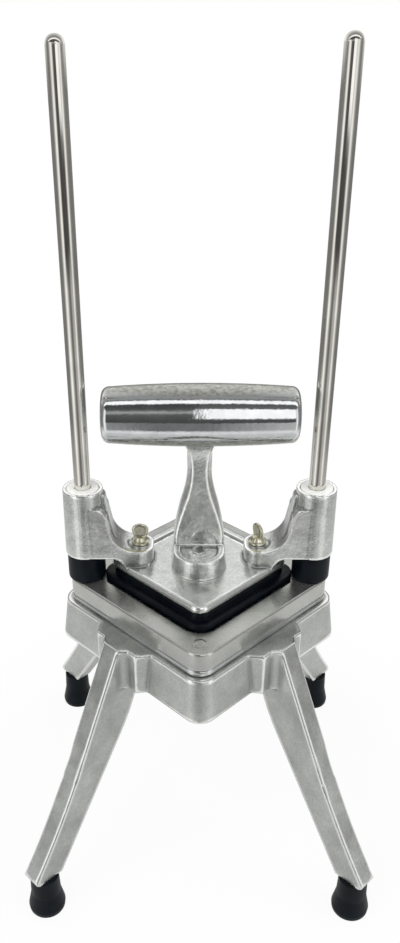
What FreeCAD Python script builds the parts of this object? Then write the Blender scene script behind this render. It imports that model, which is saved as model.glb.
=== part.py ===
import FreeCAD, Part
import Sketcher
import math
import os
import re

# Push-down french fry cutter: a cast base on four legs carries a square grid
# of blades, and a head with a T-handle slides on two upright guide rods and
# pushes the food through the grid. Millimetres, +Z up. The origin is on the
# table, under the middle of the square frame. The frame's corners point left,
# right, front and back, so its sides stand at 45 degrees to X and Y.

os.makedirs("parts", exist_ok=True)
doc = FreeCAD.newDocument("french_fry_cutter")
Vector = FreeCAD.Vector


# Driving dimensions

dimensions = {
    # guide rods
    "rod_reach": 72.0,
    "rod_radius": 5.0,
    "rod_top": 508.0,
    "rod_bottom": 151.0,
    # base casting
    "base_bottom": 150.0,
    "base_top": 179.0,
    "base_half_low": 67.0,
    "base_half_high": 64.4,
    "base_corner": 12.0,
    "base_opening_half": 48.5,
    "hollow_half": 56.5,
    "hollow_top": 172.0,
    "hollow_corner": 8.0,
    "shoulder_reach": 72.3,
    "shoulder_half": 17.4,
    "shoulder_facet": 9.0,
    "boss_bottom": 160.0,
    "rod_boss_radius": 9.0,
    "nut_pocket_radius": 11.0,
    "screw_pocket_radius": 7.5,
    # legs
    "leg_width": 13.3,
    "leg_bottom": 30.0,
    "leg_reach_high": 76.5,
    "leg_reach_low": 151.0,
    "leg_depth_low": 20.0,
    "leg_edge_radius": 1.5,
    "leg_root_facet": 4.3,
    # rubber feet
    "foot_reach": 140.6,
    "foot_radius": 11.8,
    "foot_neck_radius": 9.2,
    "foot_flare_height": 13.5,
    # blade cartridge and frame
    "opening_half": 47.0,
    "opening_corner": 12.5,
    "frame_half": 61.5,
    "frame_corner": 11.0,
    "cartridge_bottom": 179.4,
    "cartridge_top": 183.3,
    "frame_bottom": 183.7,
    "frame_top": 196.0,
    # blade grid
    "blade_count": 6.0,
    "blade_pitch": 12.7,
    "blade_thickness": 0.6,
    "blade_bottom": 184.0,
    "blade_top": 193.5,
    "blade_edge_height": 1.6,
    "blade_half_length": 53.0,
    "blade_slot_width": 1.2,
    # bumpers on the rods
    "bumper_radius": 12.0,
    "bumper_top": 214.3,
    # push head casting
    "head_bottom": 204.5,
    "head_top": 211.5,
    "head_half": 41.2,
    "head_corner": 7.7,
    "head_rim_round": 2.6,
    "head_floor": 209.0,
    "head_floor_half": 33.5,
    "sleeve_bottom": 214.6,
    "sleeve_top": 260.0,
    "sleeve_radius": 12.9,
    "sleeve_draft": 0.6,
    "arm_half_width": 12.0,
    "arm_pad_top": 219.6,
    "pad_end": 28.6,
    "pad_round": 9.5,
    "thumbscrew_seat_radius": 8.0,
    "rib_half_width": 4.0,
    # nylon bushings
    "bushing_radius": 7.5,
    "bushing_length": 16.0,
    "bushing_flange_radius": 10.0,
    "bushing_flange_height": 2.2,
    "running_clearance": 0.05,
    # T-handle
    "grip_height": 308.5,
    "grip_length": 116.0,
    "grip_radius_middle": 18.5,
    "grip_radius_end": 16.6,
    "grip_end_round": 4.5,
    "foot_pad_half": 17.6,
    "foot_pad_top": 220.6,
    "foot_pad_draft": 9.0,
    "recess_inset": 5.8,
    "recess_depth": 1.4,
    "handle_screw_y": -12.7,
    "handle_bolt_y": 2.5,
    # push block
    "block_top": 204.2,
    "block_wall_half": 40.3,
    "block_ledge": 199.0,
    "block_half": 45.5,
    "block_corner": 11.0,
    "finger_bottom": 181.3,
    "finger_root": 194.4,
    "finger_gap": 1.9,
    # wing thumbscrews
    "thumbscrew_reach": 37.2,
    "thumbscrew_radius": 2.95,
    "thumbscrew_end": 192.5,
    "collar_radius": 5.9,
    "paddle_top": 233.8,
    "paddle_thickness": 2.6,
    # loose fit kept between pieces that only stand beside each other
    "gap": 0.3,
}

sheet = doc.addObject("Spreadsheet::Sheet", "Dimensions")
for row, (alias, value) in enumerate(dimensions.items(), start=1):
    sheet.set("A%d" % row, alias)
    sheet.set("B%d" % row, str(value))
    sheet.setAlias("B%d" % row, alias)
doc.recompute()


def size(alias):
    """The value of one named cell."""
    return float(sheet.get(alias))


def cell(text):
    """An expression in which each word that names a cell reads that cell."""

    def named(match):
        word = match.group(0)
        return "Dimensions." + word if word in dimensions else word

    return re.sub(r"[a-z_]+", named, text)


# Helpers for bodies, sketches and features

def newBody(label, turned=False):
    """A body; a turned one has its X and Y along the sides of the square."""
    body = doc.addObject("PartDesign::Body", label)
    body.Label = label
    if turned:
        body.Placement = FreeCAD.Placement(Vector(), FreeCAD.Rotation(Vector(0, 0, 1), 45))
    return body


def originPart(body, role):
    for feature in body.Origin.OriginFeatures:
        if feature.Role == role:
            return feature
    raise ValueError(role)


def newSketch(body, name, plane, height, turn=0.0):
    """A sketch on an origin plane, lifted along that plane's normal by height."""
    sketch = body.newObject("Sketcher::SketchObject", name)
    sketch.AttachmentSupport = [(originPart(body, plane), "")]
    sketch.MapMode = "FlatFace"
    sketch.AttachmentOffset = FreeCAD.Placement(Vector(), FreeCAD.Rotation(Vector(0, 0, 1), turn))
    sketch.setExpression(".AttachmentOffset.Base.z", cell(height))
    return sketch


def roundedSquare(sketch, half, corner):
    """A square with round corners, centred; half and corner are expressions."""
    h = 10.0
    r = 2.0
    centres = [(h - r, h - r), (r - h, h - r), (r - h, r - h), (h - r, r - h)]
    edges = []
    for quarter, (cx, cy) in enumerate(centres):
        start = quarter * math.pi / 2
        circle = Part.Circle(Vector(cx, cy, 0), Vector(0, 0, 1), r)
        arc = Part.ArcOfCircle(circle, start, start + math.pi / 2)
        edges.append(sketch.addGeometry(arc, False))
    for quarter in range(4):
        first = sketch.Geometry[edges[quarter]].EndPoint
        last = sketch.Geometry[edges[(quarter + 1) % 4]].StartPoint
        line = sketch.addGeometry(Part.LineSegment(first, last), False)
        sketch.addConstraint(Sketcher.Constraint("Tangent", edges[quarter], 2, line, 1))
        sketch.addConstraint(Sketcher.Constraint("Tangent", line, 2, edges[(quarter + 1) % 4], 1))
        sketch.addConstraint(Sketcher.Constraint("Horizontal" if quarter % 2 == 0 else "Vertical", line))
        if quarter:
            sketch.addConstraint(Sketcher.Constraint("Equal", edges[0], edges[quarter]))
    named = [
        ("corner", Sketcher.Constraint("Radius", edges[0], r), corner),
        ("centre_right", Sketcher.Constraint("DistanceX", edges[0], 3, h - r), half + " - " + corner),
        ("centre_top", Sketcher.Constraint("DistanceY", edges[0], 3, h - r), half + " - " + corner),
        ("centre_left", Sketcher.Constraint("DistanceX", edges[2], 3, r - h), corner + " - " + half),
        ("centre_bottom", Sketcher.Constraint("DistanceY", edges[2], 3, r - h), corner + " - " + half),
    ]
    for name, constraint, text in named:
        index = sketch.addConstraint(constraint)
        sketch.renameConstraint(index, name)
        sketch.setExpression("Constraints." + name, cell(text))


def circle(sketch, name, x, y, radius):
    """A circle whose centre and radius are expressions."""
    index = sketch.addGeometry(Part.Circle(Vector(1, 1, 0), Vector(0, 0, 1), 1.0), False)
    named = [
        (name + "_radius", Sketcher.Constraint("Radius", index, 1.0), radius),
        (name + "_x", Sketcher.Constraint("DistanceX", index, 3, 1.0), x),
        (name + "_y", Sketcher.Constraint("DistanceY", index, 3, 1.0), y),
    ]
    for label, constraint, text in named:
        number = sketch.addConstraint(constraint)
        sketch.renameConstraint(number, label)
        sketch.setExpression("Constraints." + label, cell(text))


def arcThrough(start, middle, end, clockwise):
    """An arc through three points, which a sketch always runs anticlockwise."""
    whole = Part.Circle(start, middle, end)
    centre = whole.Center
    angles = []
    for point in (end, start) if clockwise else (start, end):
        angles.append(math.atan2(point.y - centre.y, point.x - centre.x))
    if angles[1] < angles[0]:
        angles[1] += 2 * math.pi
    return Part.ArcOfCircle(Part.Circle(centre, Vector(0, 0, 1), whole.Radius), *angles)


def outline(sketch, start, steps):
    """A closed outline: each step is an end point, or an arc's middle and end."""
    here = Vector(start[0], start[1], 0)
    joints = []
    for step in list(steps) + [(start,)]:
        end = Vector(step[-1][0], step[-1][1], 0)
        if (end - here).Length < 1e-6:
            continue
        ends = (1, 2)
        curve = Part.LineSegment(here, end)
        if len(step) == 2:
            middle = Vector(step[0][0], step[0][1], 0)
            clockwise = (middle - here).cross(end - middle).z < 0
            curve = arcThrough(here, middle, end, clockwise)
            ends = (2, 1) if clockwise else (1, 2)
        index = sketch.addGeometry(curve, False)
        joints.append((index, ends[0], ends[1]))
        here = end
    constraints = []
    for current, following in zip(joints, joints[1:] + joints[:1]):
        pair = (current[0], current[2], following[0], following[1])
        constraints.append(Sketcher.Constraint("Coincident", *pair))
    for index, _, _ in joints:
        constraints.append(Sketcher.Constraint("Block", index))
    sketch.addConstraint(constraints)


def pad(body, name, sketch, length, taper=0.0, backwards=False):
    feature = body.newObject("PartDesign::Pad", name)
    feature.Profile = sketch
    feature.setExpression("Length", cell(length))
    feature.TaperAngle = taper
    feature.Reversed = backwards
    body.Tip = feature
    return feature


def pocket(body, name, sketch, length, upwards=False, taper=0.0):
    """A pocket, which has to take material away from the body."""
    doc.recompute()
    before = body.Shape.Volume
    feature = body.newObject("PartDesign::Pocket", name)
    feature.Profile = sketch
    feature.setExpression("Length", cell(length))
    feature.Reversed = upwards
    feature.TaperAngle = taper
    body.Tip = feature
    doc.recompute()
    if body.Shape.Volume > before - 0.1:
        raise RuntimeError(name + " cuts nothing")
    return feature


def polar(body, name, originals, count):
    feature = body.newObject("PartDesign::PolarPattern", name)
    feature.Originals = originals
    feature.Axis = (originPart(body, "Z_Axis"), [""])
    feature.Angle = 360
    feature.Occurrences = count
    body.Tip = feature
    return feature


def linear(body, name, originals, axis, length, count):
    feature = body.newObject("PartDesign::LinearPattern", name)
    feature.Originals = originals
    feature.Direction = (originPart(body, axis), [""])
    feature.setExpression("Length", cell(length))
    feature.Occurrences = count
    body.Tip = feature
    return feature


def mirrored(body, name, originals, plane):
    feature = body.newObject("PartDesign::Mirrored", name)
    feature.Originals = originals
    feature.MirrorPlane = (originPart(body, plane), [""])
    body.Tip = feature
    return feature


def roundEdges(body, name, radius, wanted):
    """A fillet on every edge of the body's tip for which wanted is true."""
    doc.recompute()
    base = body.Tip
    names = []
    for number, edge in enumerate(base.Shape.Edges, start=1):
        if wanted(edge):
            names.append("Edge%d" % number)
    if not names:
        raise RuntimeError(name + " finds no edge")
    feature = body.newObject("PartDesign::Fillet", name)
    feature.Base = (base, names)
    feature.Radius = radius
    body.Tip = feature
    doc.recompute()
    return feature


def revolve(body, name, sketch, axis):
    feature = body.newObject("PartDesign::Revolution", name)
    feature.Profile = sketch
    feature.ReferenceAxis = (sketch, [axis])
    feature.Angle = 360
    body.Tip = feature
    return feature


def flatAt(edge, height, reach=0.01):
    """True for an edge that lies in the horizontal plane at this height."""
    box = edge.BoundBox
    return abs(box.ZMin - height) < reach and abs(box.ZMax - height) < reach


def alongArc(start, direction, end):
    """The middle point of the arc that leaves start in this direction and reaches end."""
    chord = Vector(end[0] - start[0], end[1] - start[1], 0)
    heading = Vector(direction[0], direction[1], 0).normalize()
    across = Vector(-chord.y, chord.x, 0).normalize()
    side = 1.0 if heading.dot(across) > 0 else -1.0
    angle = chord.getAngle(heading)
    rise = chord.Length / 2 * math.tan(angle / 2)
    middle = Vector(start[0], start[1], 0) + chord * 0.5 + across * (side * rise)
    return (middle.x, middle.y)


# Base casting: a drafted square skirt, hollow below, with a shoulder and a leg
# on the middle of each side and a boss in each corner

def makeBase():
    body = newBody("base_casting", turned=True)
    low = newSketch(body, "skirt_low", "XY_Plane", "base_bottom")
    roundedSquare(low, "base_half_low", "base_corner")
    high = newSketch(body, "skirt_high", "XY_Plane", "base_top")
    roundedSquare(high, "base_half_high", "base_corner")
    skirt = body.newObject("PartDesign::AdditiveLoft", "skirt")
    skirt.Profile = low
    skirt.Sections = [high]
    skirt.Ruled = True
    body.Tip = skirt

    hollow = newSketch(body, "hollow_outline", "XY_Plane", "base_bottom")
    roundedSquare(hollow, "hollow_half", "hollow_corner")
    pocket(body, "hollow", hollow, "hollow_top - base_bottom", upwards=True)
    opening = newSketch(body, "opening_outline", "XY_Plane", "base_top")
    roundedSquare(opening, "base_opening_half", "opening_corner")
    pocket(body, "opening", opening, "base_top - hollow_top + 1")

    # bosses for the two rods and the two frame screws, on the diagonals
    reach = "rod_reach / sqrt(2)"
    bosses = newSketch(body, "boss_circles", "XY_Plane", "boss_bottom")
    circle(bosses, "left", "-1 * " + reach, reach, "rod_boss_radius")
    circle(bosses, "right", reach, "-1 * " + reach, "rod_boss_radius")
    circle(bosses, "front", "-1 * " + reach, "-1 * " + reach, "rod_boss_radius")
    circle(bosses, "rear", reach, reach, "rod_boss_radius")
    pad(body, "bosses", bosses, "hollow_top - boss_bottom + 1")
    pockets = newSketch(body, "nut_pocket_circles", "XY_Plane", "base_bottom")
    circle(pockets, "left", "-1 * " + reach, reach, "nut_pocket_radius")
    circle(pockets, "right", reach, "-1 * " + reach, "nut_pocket_radius")
    circle(pockets, "front", "-1 * " + reach, "-1 * " + reach, "screw_pocket_radius")
    circle(pockets, "rear", reach, reach, "screw_pocket_radius")
    pocket(body, "nut_pockets", pockets, "boss_bottom - base_bottom", upwards=True)

    # shoulder: seen from above, a low pad with slanting ends and a nose under the leg
    outer = size("shoulder_reach")
    half = size("shoulder_half")
    facet = size("shoulder_facet")
    root = size("leg_root_facet")
    legSide = size("leg_width") / 2 - 0.05
    inside = outer - facet
    end = half + facet * 0.75
    rightHalf = [
        ((outer, half),),
        ((outer, legSide + root),),
        ((outer + root, legSide),),
    ]
    leftHalf = [
        ((outer + root, -legSide),),
        ((outer, -legSide - root),),
        ((outer, -half),),
        ((inside, -end),),
    ]
    shoulder = newSketch(body, "shoulder_outline", "XY_Plane", "base_top")
    outline(shoulder, (inside, end), rightHalf + leftHalf)
    block = pad(body, "shoulder", shoulder, "base_top - base_bottom", backwards=True)
    polar(body, "shoulders", [block], 4)

    # leg: its side outline, as wide as the casting's leg
    top = (size("leg_reach_high"), size("base_top"))
    knee = (top[0] + 34.0, top[1] - 73.0)
    slope = (knee[0] - top[0], knee[1] - top[1])
    toe = (size("leg_reach_low"), size("leg_bottom") + 5.0)
    heel = (size("leg_reach_low") - size("leg_depth_low"), size("leg_bottom"))
    crotch = (76.8, 113.0)
    legOutline = [
        (knee,),
        (alongArc(knee, slope, toe), toe),
        ((toe[0] - 0.2, heel[1] + 1.6), (toe[0] - 2.5, heel[1])),
        (heel,),
        (crotch,),
        ((69.8, 124.6), (64.0, 137.0)),
        ((58.5, size("base_bottom")),),
        ((58.5, size("base_bottom") + 15.0),),
        ((62.0, size("base_top")),),
    ]
    side = newSketch(body, "leg_outline", "XZ_Plane", "leg_width / -2")
    outline(side, top, legOutline)
    leg = pad(body, "leg", side, "leg_width")
    polar(body, "legs", [leg], 4)

    holes = newSketch(body, "rod_and_screw_circles", "XY_Plane", "base_top")
    circle(holes, "left", "-1 * " + reach, reach, "rod_radius + gap")
    circle(holes, "right", reach, "-1 * " + reach, "rod_radius + gap")
    circle(holes, "front", "-1 * " + reach, "-1 * " + reach, "3 + gap")
    circle(holes, "rear", reach, reach, "3 + gap")
    pocket(body, "rod_and_screw_holes", holes, "base_top - boss_bottom + 1")
    footHole = newSketch(body, "foot_screw_circle", "XY_Plane", "leg_bottom")
    circle(footHole, "foot", "foot_reach", "0", "2.5 + gap / 2")
    hole = pocket(body, "foot_screw_hole", footHole, "13", upwards=True)
    polar(body, "foot_screw_holes", [hole], 4)

    # the leg's two long outer edges are rounded
    legSides = size("leg_width") / 2

    def isLegEdge(edge):
        box = edge.BoundBox
        for low, high, far in ((box.XMin, box.XMax, max(abs(box.YMin), abs(box.YMax))),
                               (box.YMin, box.YMax, max(abs(box.XMin), abs(box.XMax)))):
            flat = abs(abs(low) - legSides) < 0.01 and abs(high - low) < 0.01
            if flat and far > size("leg_reach_high") + 2 and box.ZMax - box.ZMin > 20:
                return edge.CenterOfMass.z > size("leg_bottom") and farSide(edge)
        return False

    def farSide(edge):
        middle = edge.CenterOfMass
        out = max(abs(middle.x), abs(middle.y))
        line = top[0] + (top[1] - middle.z) * 0.43
        return out > line

    roundEdges(body, "leg_edges", size("leg_edge_radius"), isLegEdge)
    return body


# Blade cartridge plate and blade frame: two square rings that clamp the grid

def makeRing(label, bottom, top):
    body = newBody(label, turned=True)
    outer = newSketch(body, label + "_outer", "XY_Plane", bottom)
    roundedSquare(outer, "frame_half", "frame_corner")
    pad(body, label + "_ring", outer, top + " - " + bottom)
    inner = newSketch(body, label + "_inner", "XY_Plane", top)
    roundedSquare(inner, "opening_half", "opening_corner")
    pocket(body, label + "_opening", inner, top + " - " + bottom)
    reach = "rod_reach / sqrt(2)"
    holes = newSketch(body, label + "_rod_circles", "XY_Plane", bottom)
    circle(holes, "left", "-1 * " + reach, reach, "rod_radius + gap / 2")
    circle(holes, "right", reach, "-1 * " + reach, "rod_radius + gap / 2")
    pocket(body, label + "_rod_holes", holes, top + " - " + bottom, upwards=True)
    return body


def makeCartridge():
    body = makeRing("cartridge_plate", "cartridge_bottom", "cartridge_top")
    reach = "rod_reach / sqrt(2)"
    holes = newSketch(body, "cartridge_screw_circles", "XY_Plane", "cartridge_bottom")
    circle(holes, "front", "-1 * " + reach, "-1 * " + reach, "3 + gap")
    circle(holes, "rear", reach, reach, "3 + gap")
    pocket(body, "cartridge_screw_holes", holes, "cartridge_top - cartridge_bottom", upwards=True)
    outside = size("frame_half") - size("frame_corner")

    def isRim(edge):
        far = max(abs(edge.CenterOfMass.x), abs(edge.CenterOfMass.y))
        level = flatAt(edge, size("cartridge_bottom")) or flatAt(edge, size("cartridge_top"))
        return level and far > outside and not edge.isClosed()

    roundEdges(body, "cartridge_rim", 1.2, isRim)
    return body


def makeFrame():
    body = makeRing("blade_frame", "frame_bottom", "frame_top")
    reach = "rod_reach / sqrt(2)"
    holes = newSketch(body, "frame_screw_circles", "XY_Plane", "frame_bottom")
    circle(holes, "front", "-1 * " + reach, "-1 * " + reach, "3 + gap / 2")
    circle(holes, "rear", reach, reach, "3 + gap / 2")
    pocket(body, "frame_screw_holes", holes, "9", upwards=True)

    # slots for both sets of blades, open at the underside
    count = int(size("blade_count"))
    span = "blade_pitch * (blade_count - 1)"
    slotDepth = "blade_top - frame_bottom + 0.5"
    halfLength = size("blade_half_length") + 0.5
    halfWidth = size("blade_slot_width") / 2
    first = -size("blade_pitch") * (count - 1) / 2
    across = newSketch(body, "slot_across_outline", "XY_Plane", "frame_bottom")
    outline(across, (-halfLength, first - halfWidth),
            [((halfLength, first - halfWidth),), ((halfLength, first + halfWidth),),
             ((-halfLength, first + halfWidth),)])
    slot = pocket(body, "slot_across", across, slotDepth, upwards=True)
    linear(body, "slots_across", [slot], "Y_Axis", span, count)
    along = newSketch(body, "slot_along_outline", "XY_Plane", "frame_bottom")
    outline(along, (first - halfWidth, -halfLength),
            [((first + halfWidth, -halfLength),), ((first + halfWidth, halfLength),),
             ((first - halfWidth, halfLength),)])
    slot = pocket(body, "slot_along", along, slotDepth, upwards=True)
    linear(body, "slots_along", [slot], "X_Axis", span, count)

    # low round mark that the casting has over each screw
    marks = newSketch(body, "mark_circles", "XY_Plane", "frame_top")
    circle(marks, "front", "-1 * " + reach, "-1 * " + reach, "3.4")
    circle(marks, "rear", reach, reach, "3.4")
    pad(body, "marks", marks, "0.7", taper=-30)

    def isTopRim(edge):
        return flatAt(edge, size("frame_top")) and not edge.isClosed()

    roundEdges(body, "frame_rim", 1.3, isTopRim)
    return body


# Blade grid: two sets of strips that cross in half-deep slots

def makeBlade(label, slotsFromAbove):
    """One strip along X, sharpened on its upper edge, slotted where the others cross."""
    body = newBody(label)
    half = size("blade_thickness") / 2
    bottom = size("blade_bottom")
    top = size("blade_top")
    shoulder = top - size("blade_edge_height")
    section = newSketch(body, label + "_section", "YZ_Plane", "-1 * blade_half_length")
    outline(section, (-half, bottom),
            [((half, bottom),), ((half, shoulder),), ((half / 6, top),), ((-half / 6, top),), ((-half, shoulder),)])
    pad(body, label + "_strip", section, "2 * blade_half_length")
    count = int(size("blade_count"))
    first = -size("blade_pitch") * (count - 1) / 2
    slotHalf = size("blade_slot_width") / 2
    side = newSketch(body, label + "_slot_outline", "XZ_Plane", "-1 * blade_thickness")
    middle = (bottom + top) / 2
    if slotsFromAbove:
        low, high = middle - 0.15, top + 1
    else:
        low, high = bottom - 1, middle + 0.15
    outline(side, (first - slotHalf, low),
            [((first + slotHalf, low),), ((first + slotHalf, high),), ((first - slotHalf, high),)])
    doc.recompute()
    slot = body.newObject("PartDesign::Pocket", label + "_slot")
    slot.Profile = side
    slot.Reversed = True
    slot.setExpression("Length", cell("2 * blade_thickness"))
    body.Tip = slot
    doc.recompute()
    span = "blade_pitch * (blade_count - 1)"
    linear(body, label + "_slots", [slot], "X_Axis", span, count)
    doc.recompute()
    return body


def makeBladeSet(label, pattern, turn):
    """All the strips of one direction, as separate solids in one node."""
    count = int(size("blade_count"))
    pitch = size("blade_pitch")
    strips = []
    for number in range(count):
        strip = pattern.Shape.copy()
        strip.translate(Vector(0, (number - (count - 1) / 2) * pitch, 0))
        strips.append(strip)
    node = doc.addObject("Part::Feature", label)
    node.Label = label
    node.Shape = Part.makeCompound(strips)
    node.Placement = FreeCAD.Placement(Vector(), FreeCAD.Rotation(Vector(0, 0, 1), turn))
    return node


# Round pieces made by turning an outline about Z

def turnedBody(label, start, steps, place=(0, 0)):
    body = newBody(label)
    sketch = newSketch(body, label + "_outline", "XZ_Plane", "0")
    outline(sketch, start, steps)
    revolve(body, label + "_turned", sketch, "V_Axis")
    body.Placement = FreeCAD.Placement(Vector(place[0], place[1], 0), FreeCAD.Rotation())
    return body


def makeRod(label, x):
    radius = size("rod_radius")
    top = size("rod_top")
    bottom = size("rod_bottom")
    dome = radius * math.sin(math.pi / 4)
    steps = [
        ((radius - 0.8, bottom),),
        ((radius, bottom + 0.8),),
        ((radius, top - radius),),
        ((dome, top - radius + dome), (0, top)),
    ]
    return turnedBody(label, (0, bottom), steps, (x, 0))


def makeBumper(label, x):
    """A rubber ring on the rod that the head comes down on."""
    outer = size("bumper_radius")
    bore = size("rod_radius") + 0.15
    bottom = size("frame_top") + 0.1
    top = size("bumper_top")
    steps = [
        ((outer - 0.8, bottom),),
        ((outer, bottom + 1.2),),
        ((outer, top - 0.8),),
        ((outer - 0.8, top),),
        ((bore, top),),
    ]
    return turnedBody(label, (bore, bottom), steps, (x, 0))


def makeFoot(label, x, y):
    """A flared rubber foot with a recess for its screw."""
    radius = size("foot_radius")
    neck = size("foot_neck_radius")
    flare = size("foot_flare_height")
    top = size("leg_bottom") - size("gap") / 2
    steps = [
        ((radius - 0.8, 0),),
        ((radius, 1.0),),
        ((radius, 4.5),),
        ((radius - 1.5, 9.0), (neck + 0.4, flare)),
        ((neck, top),),
        ((2.7, top),),
        ((2.7, 9.0),),
        ((6.0, 9.0),),
        ((6.0, 0),),
    ]
    return turnedBody(label, (6.0, 0), steps, (x, y))


def makeBushing(label, x, upper):
    """A nylon bushing: a sleeve with a flange that sits in the end of the boss."""
    bore = size("rod_radius") + size("running_clearance")
    sleeve = size("bushing_radius")
    flange = size("bushing_flange_radius")
    height = size("bushing_flange_height")
    length = size("bushing_length")
    if upper:
        end = size("sleeve_top") + 0.3
        turn = -1.0
    else:
        end = size("sleeve_bottom") + 0.1
        turn = 1.0
    steps = [
        ((flange - 0.5, end),),
        ((flange, end + turn * 0.5),),
        ((flange, end + turn * height),),
        ((sleeve, end + turn * height),),
        ((sleeve, end + turn * length),),
        ((bore, end + turn * length),),
    ]
    return turnedBody(label, (bore, end), steps, (x, 0))


# Push head casting: a square plate, two arms and two upright bosses

def makeHead():
    body = newBody("head_casting")
    plate = newSketch(body, "plate_outline", "XY_Plane", "head_bottom", turn=45)
    roundedSquare(plate, "head_half", "head_corner")
    pad(body, "plate", plate, "head_top - head_bottom")
    roundEdges(body, "plate_rim", size("head_rim_round"), lambda edge: flatAt(edge, size("head_top")))
    lip = newSketch(body, "plate_lip_outline", "XY_Plane", "head_bottom", turn=45)
    roundedSquare(lip, "head_half + 0.5", "head_corner + 0.5")
    pad(body, "plate_lip", lip, "1.2")
    floor = newSketch(body, "floor_outline", "XY_Plane", "head_top", turn=45)
    roundedSquare(floor, "head_floor_half + 1.5", "6")
    pocket(body, "floor", floor, "head_top - head_floor", taper=-30)

    sleeves = newSketch(body, "sleeve_circles", "XY_Plane", "sleeve_bottom")
    circle(sleeves, "left", "-1 * rod_reach", "0", "sleeve_radius")
    circle(sleeves, "right", "rod_reach", "0", "sleeve_radius")
    pad(body, "sleeves", sleeves, "sleeve_top - sleeve_bottom", taper=-size("sleeve_draft"))

    # arm: its outline from the front, from the boss down to the plate
    bottom = size("sleeve_bottom")
    padTop = size("arm_pad_top")
    floorHeight = size("head_bottom") + 1.0
    boss = size("rod_reach")
    haunch = 9.6
    bend = haunch * math.sin(math.pi / 4)
    haunchX = 54.0
    padStart = 40.0
    armOutline = [
        ((haunchX, bottom),),
        ((haunchX - bend, bottom - haunch + bend), (haunchX - haunch, bottom - haunch)),
        ((padStart, floorHeight),),
        ((padStart, padTop),),
        ((41.0, padTop),),
        ((49.9, 223.6), (54.9, 231.5)),
        ((57.0, 241.5),),
        ((58.8, 247.0), (63.0, 249.8)),
        ((boss, 251.0),),
    ]
    arm = newSketch(body, "arm_outline", "XZ_Plane", "-1 * arm_half_width")
    outline(arm, (boss, bottom), armOutline)
    armPad = pad(body, "arm", arm, "2 * arm_half_width")
    rib = newSketch(body, "rib_outline", "XZ_Plane", "-1 * rib_half_width")
    outline(rib, (boss, 236.0), [
        ((54.0, 222.6),),
        ((50.4, 224.4),),
        ((54.1, 231.9), (56.1, 241.5)),
        ((58.0, 254.0),),
        ((58.6, 255.8), (60.2, 256.8)),
        ((boss, 257.5),),
    ])
    ribPad = pad(body, "rib", rib, "2 * rib_half_width")

    # the pad under the thumbscrew ends in a half round, seen from above
    padEnd = size("pad_end")
    padHalf = size("arm_half_width")
    padRound = size("pad_round")
    padBend = padRound * (1 - math.sin(math.pi / 4))
    tongue = newSketch(body, "tongue_outline", "XY_Plane", "head_bottom + 1")
    outline(tongue, (padStart + 1, -padHalf), [
        ((padEnd + padRound, -padHalf),),
        ((padEnd + padBend, padBend - padHalf), (padEnd, padRound - padHalf)),
        ((padEnd, padHalf - padRound),),
        ((padEnd + padBend, padHalf - padBend), (padEnd + padRound, padHalf)),
        ((padStart + 1, padHalf),),
    ])
    tonguePad = pad(body, "tongue", tongue, "arm_pad_top - head_bottom - 1")
    mirrored(body, "arms", [armPad, ribPad, tonguePad], "YZ_Plane")

    # round seat cut for each thumbscrew and its washer
    seatCircles = newSketch(body, "thumbscrew_seat_circles", "XY_Plane", "arm_pad_top + 9")
    circle(seatCircles, "left", "-1 * thumbscrew_reach", "0", "thumbscrew_seat_radius")
    circle(seatCircles, "right", "thumbscrew_reach", "0", "thumbscrew_seat_radius")
    pocket(body, "thumbscrew_seats", seatCircles, "9")

    bores = newSketch(body, "bore_circles", "XY_Plane", "sleeve_top")
    circle(bores, "left", "-1 * rod_reach", "0", "bushing_radius + 0.1")
    circle(bores, "right", "rod_reach", "0", "bushing_radius + 0.1")
    pocket(body, "bores", bores, "sleeve_top - sleeve_bottom + 1")
    for name, height, upwards in (("upper_seats", "sleeve_top", False), ("lower_seats", "sleeve_bottom", True)):
        seats = newSketch(body, name + "_circles", "XY_Plane", height)
        circle(seats, "left", "-1 * rod_reach", "0", "bushing_flange_radius + 0.15")
        circle(seats, "right", "rod_reach", "0", "bushing_flange_radius + 0.15")
        pocket(body, name, seats, "bushing_flange_height + 0.1", upwards=upwards)

    holes = newSketch(body, "screw_circles", "XY_Plane", "arm_pad_top")
    circle(holes, "left", "-1 * thumbscrew_reach", "0", "thumbscrew_radius + gap + 0.15")
    circle(holes, "right", "thumbscrew_reach", "0", "thumbscrew_radius + gap + 0.15")
    circle(holes, "handle_screw", "0", "handle_screw_y", "2.7")
    circle(holes, "handle_bolt", "0", "handle_bolt_y", "4.3")
    pocket(body, "screw_holes", holes, "arm_pad_top - head_bottom + 1")
    return body


# T-handle: a D-shaped foot, a tapering stem and a barrel grip

def stemSection(body, name, height, halfWidth, front, rear, corner):
    sketch = newSketch(body, name, "XY_Plane", height)
    bend = corner * (1 - math.sin(math.pi / 4))
    outline(sketch, (halfWidth, front + corner), [
        ((halfWidth, rear - corner),),
        ((halfWidth - bend, rear - bend), (halfWidth - corner, rear)),
        ((corner - halfWidth, rear),),
        ((bend - halfWidth, rear - bend), (-halfWidth, rear - corner)),
        ((-halfWidth, front + corner),),
        ((bend - halfWidth, front + bend), (corner - halfWidth, front)),
        ((halfWidth - corner, front),),
        ((halfWidth - bend, front + bend), (halfWidth, front + corner)),
    ])
    return sketch


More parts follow.
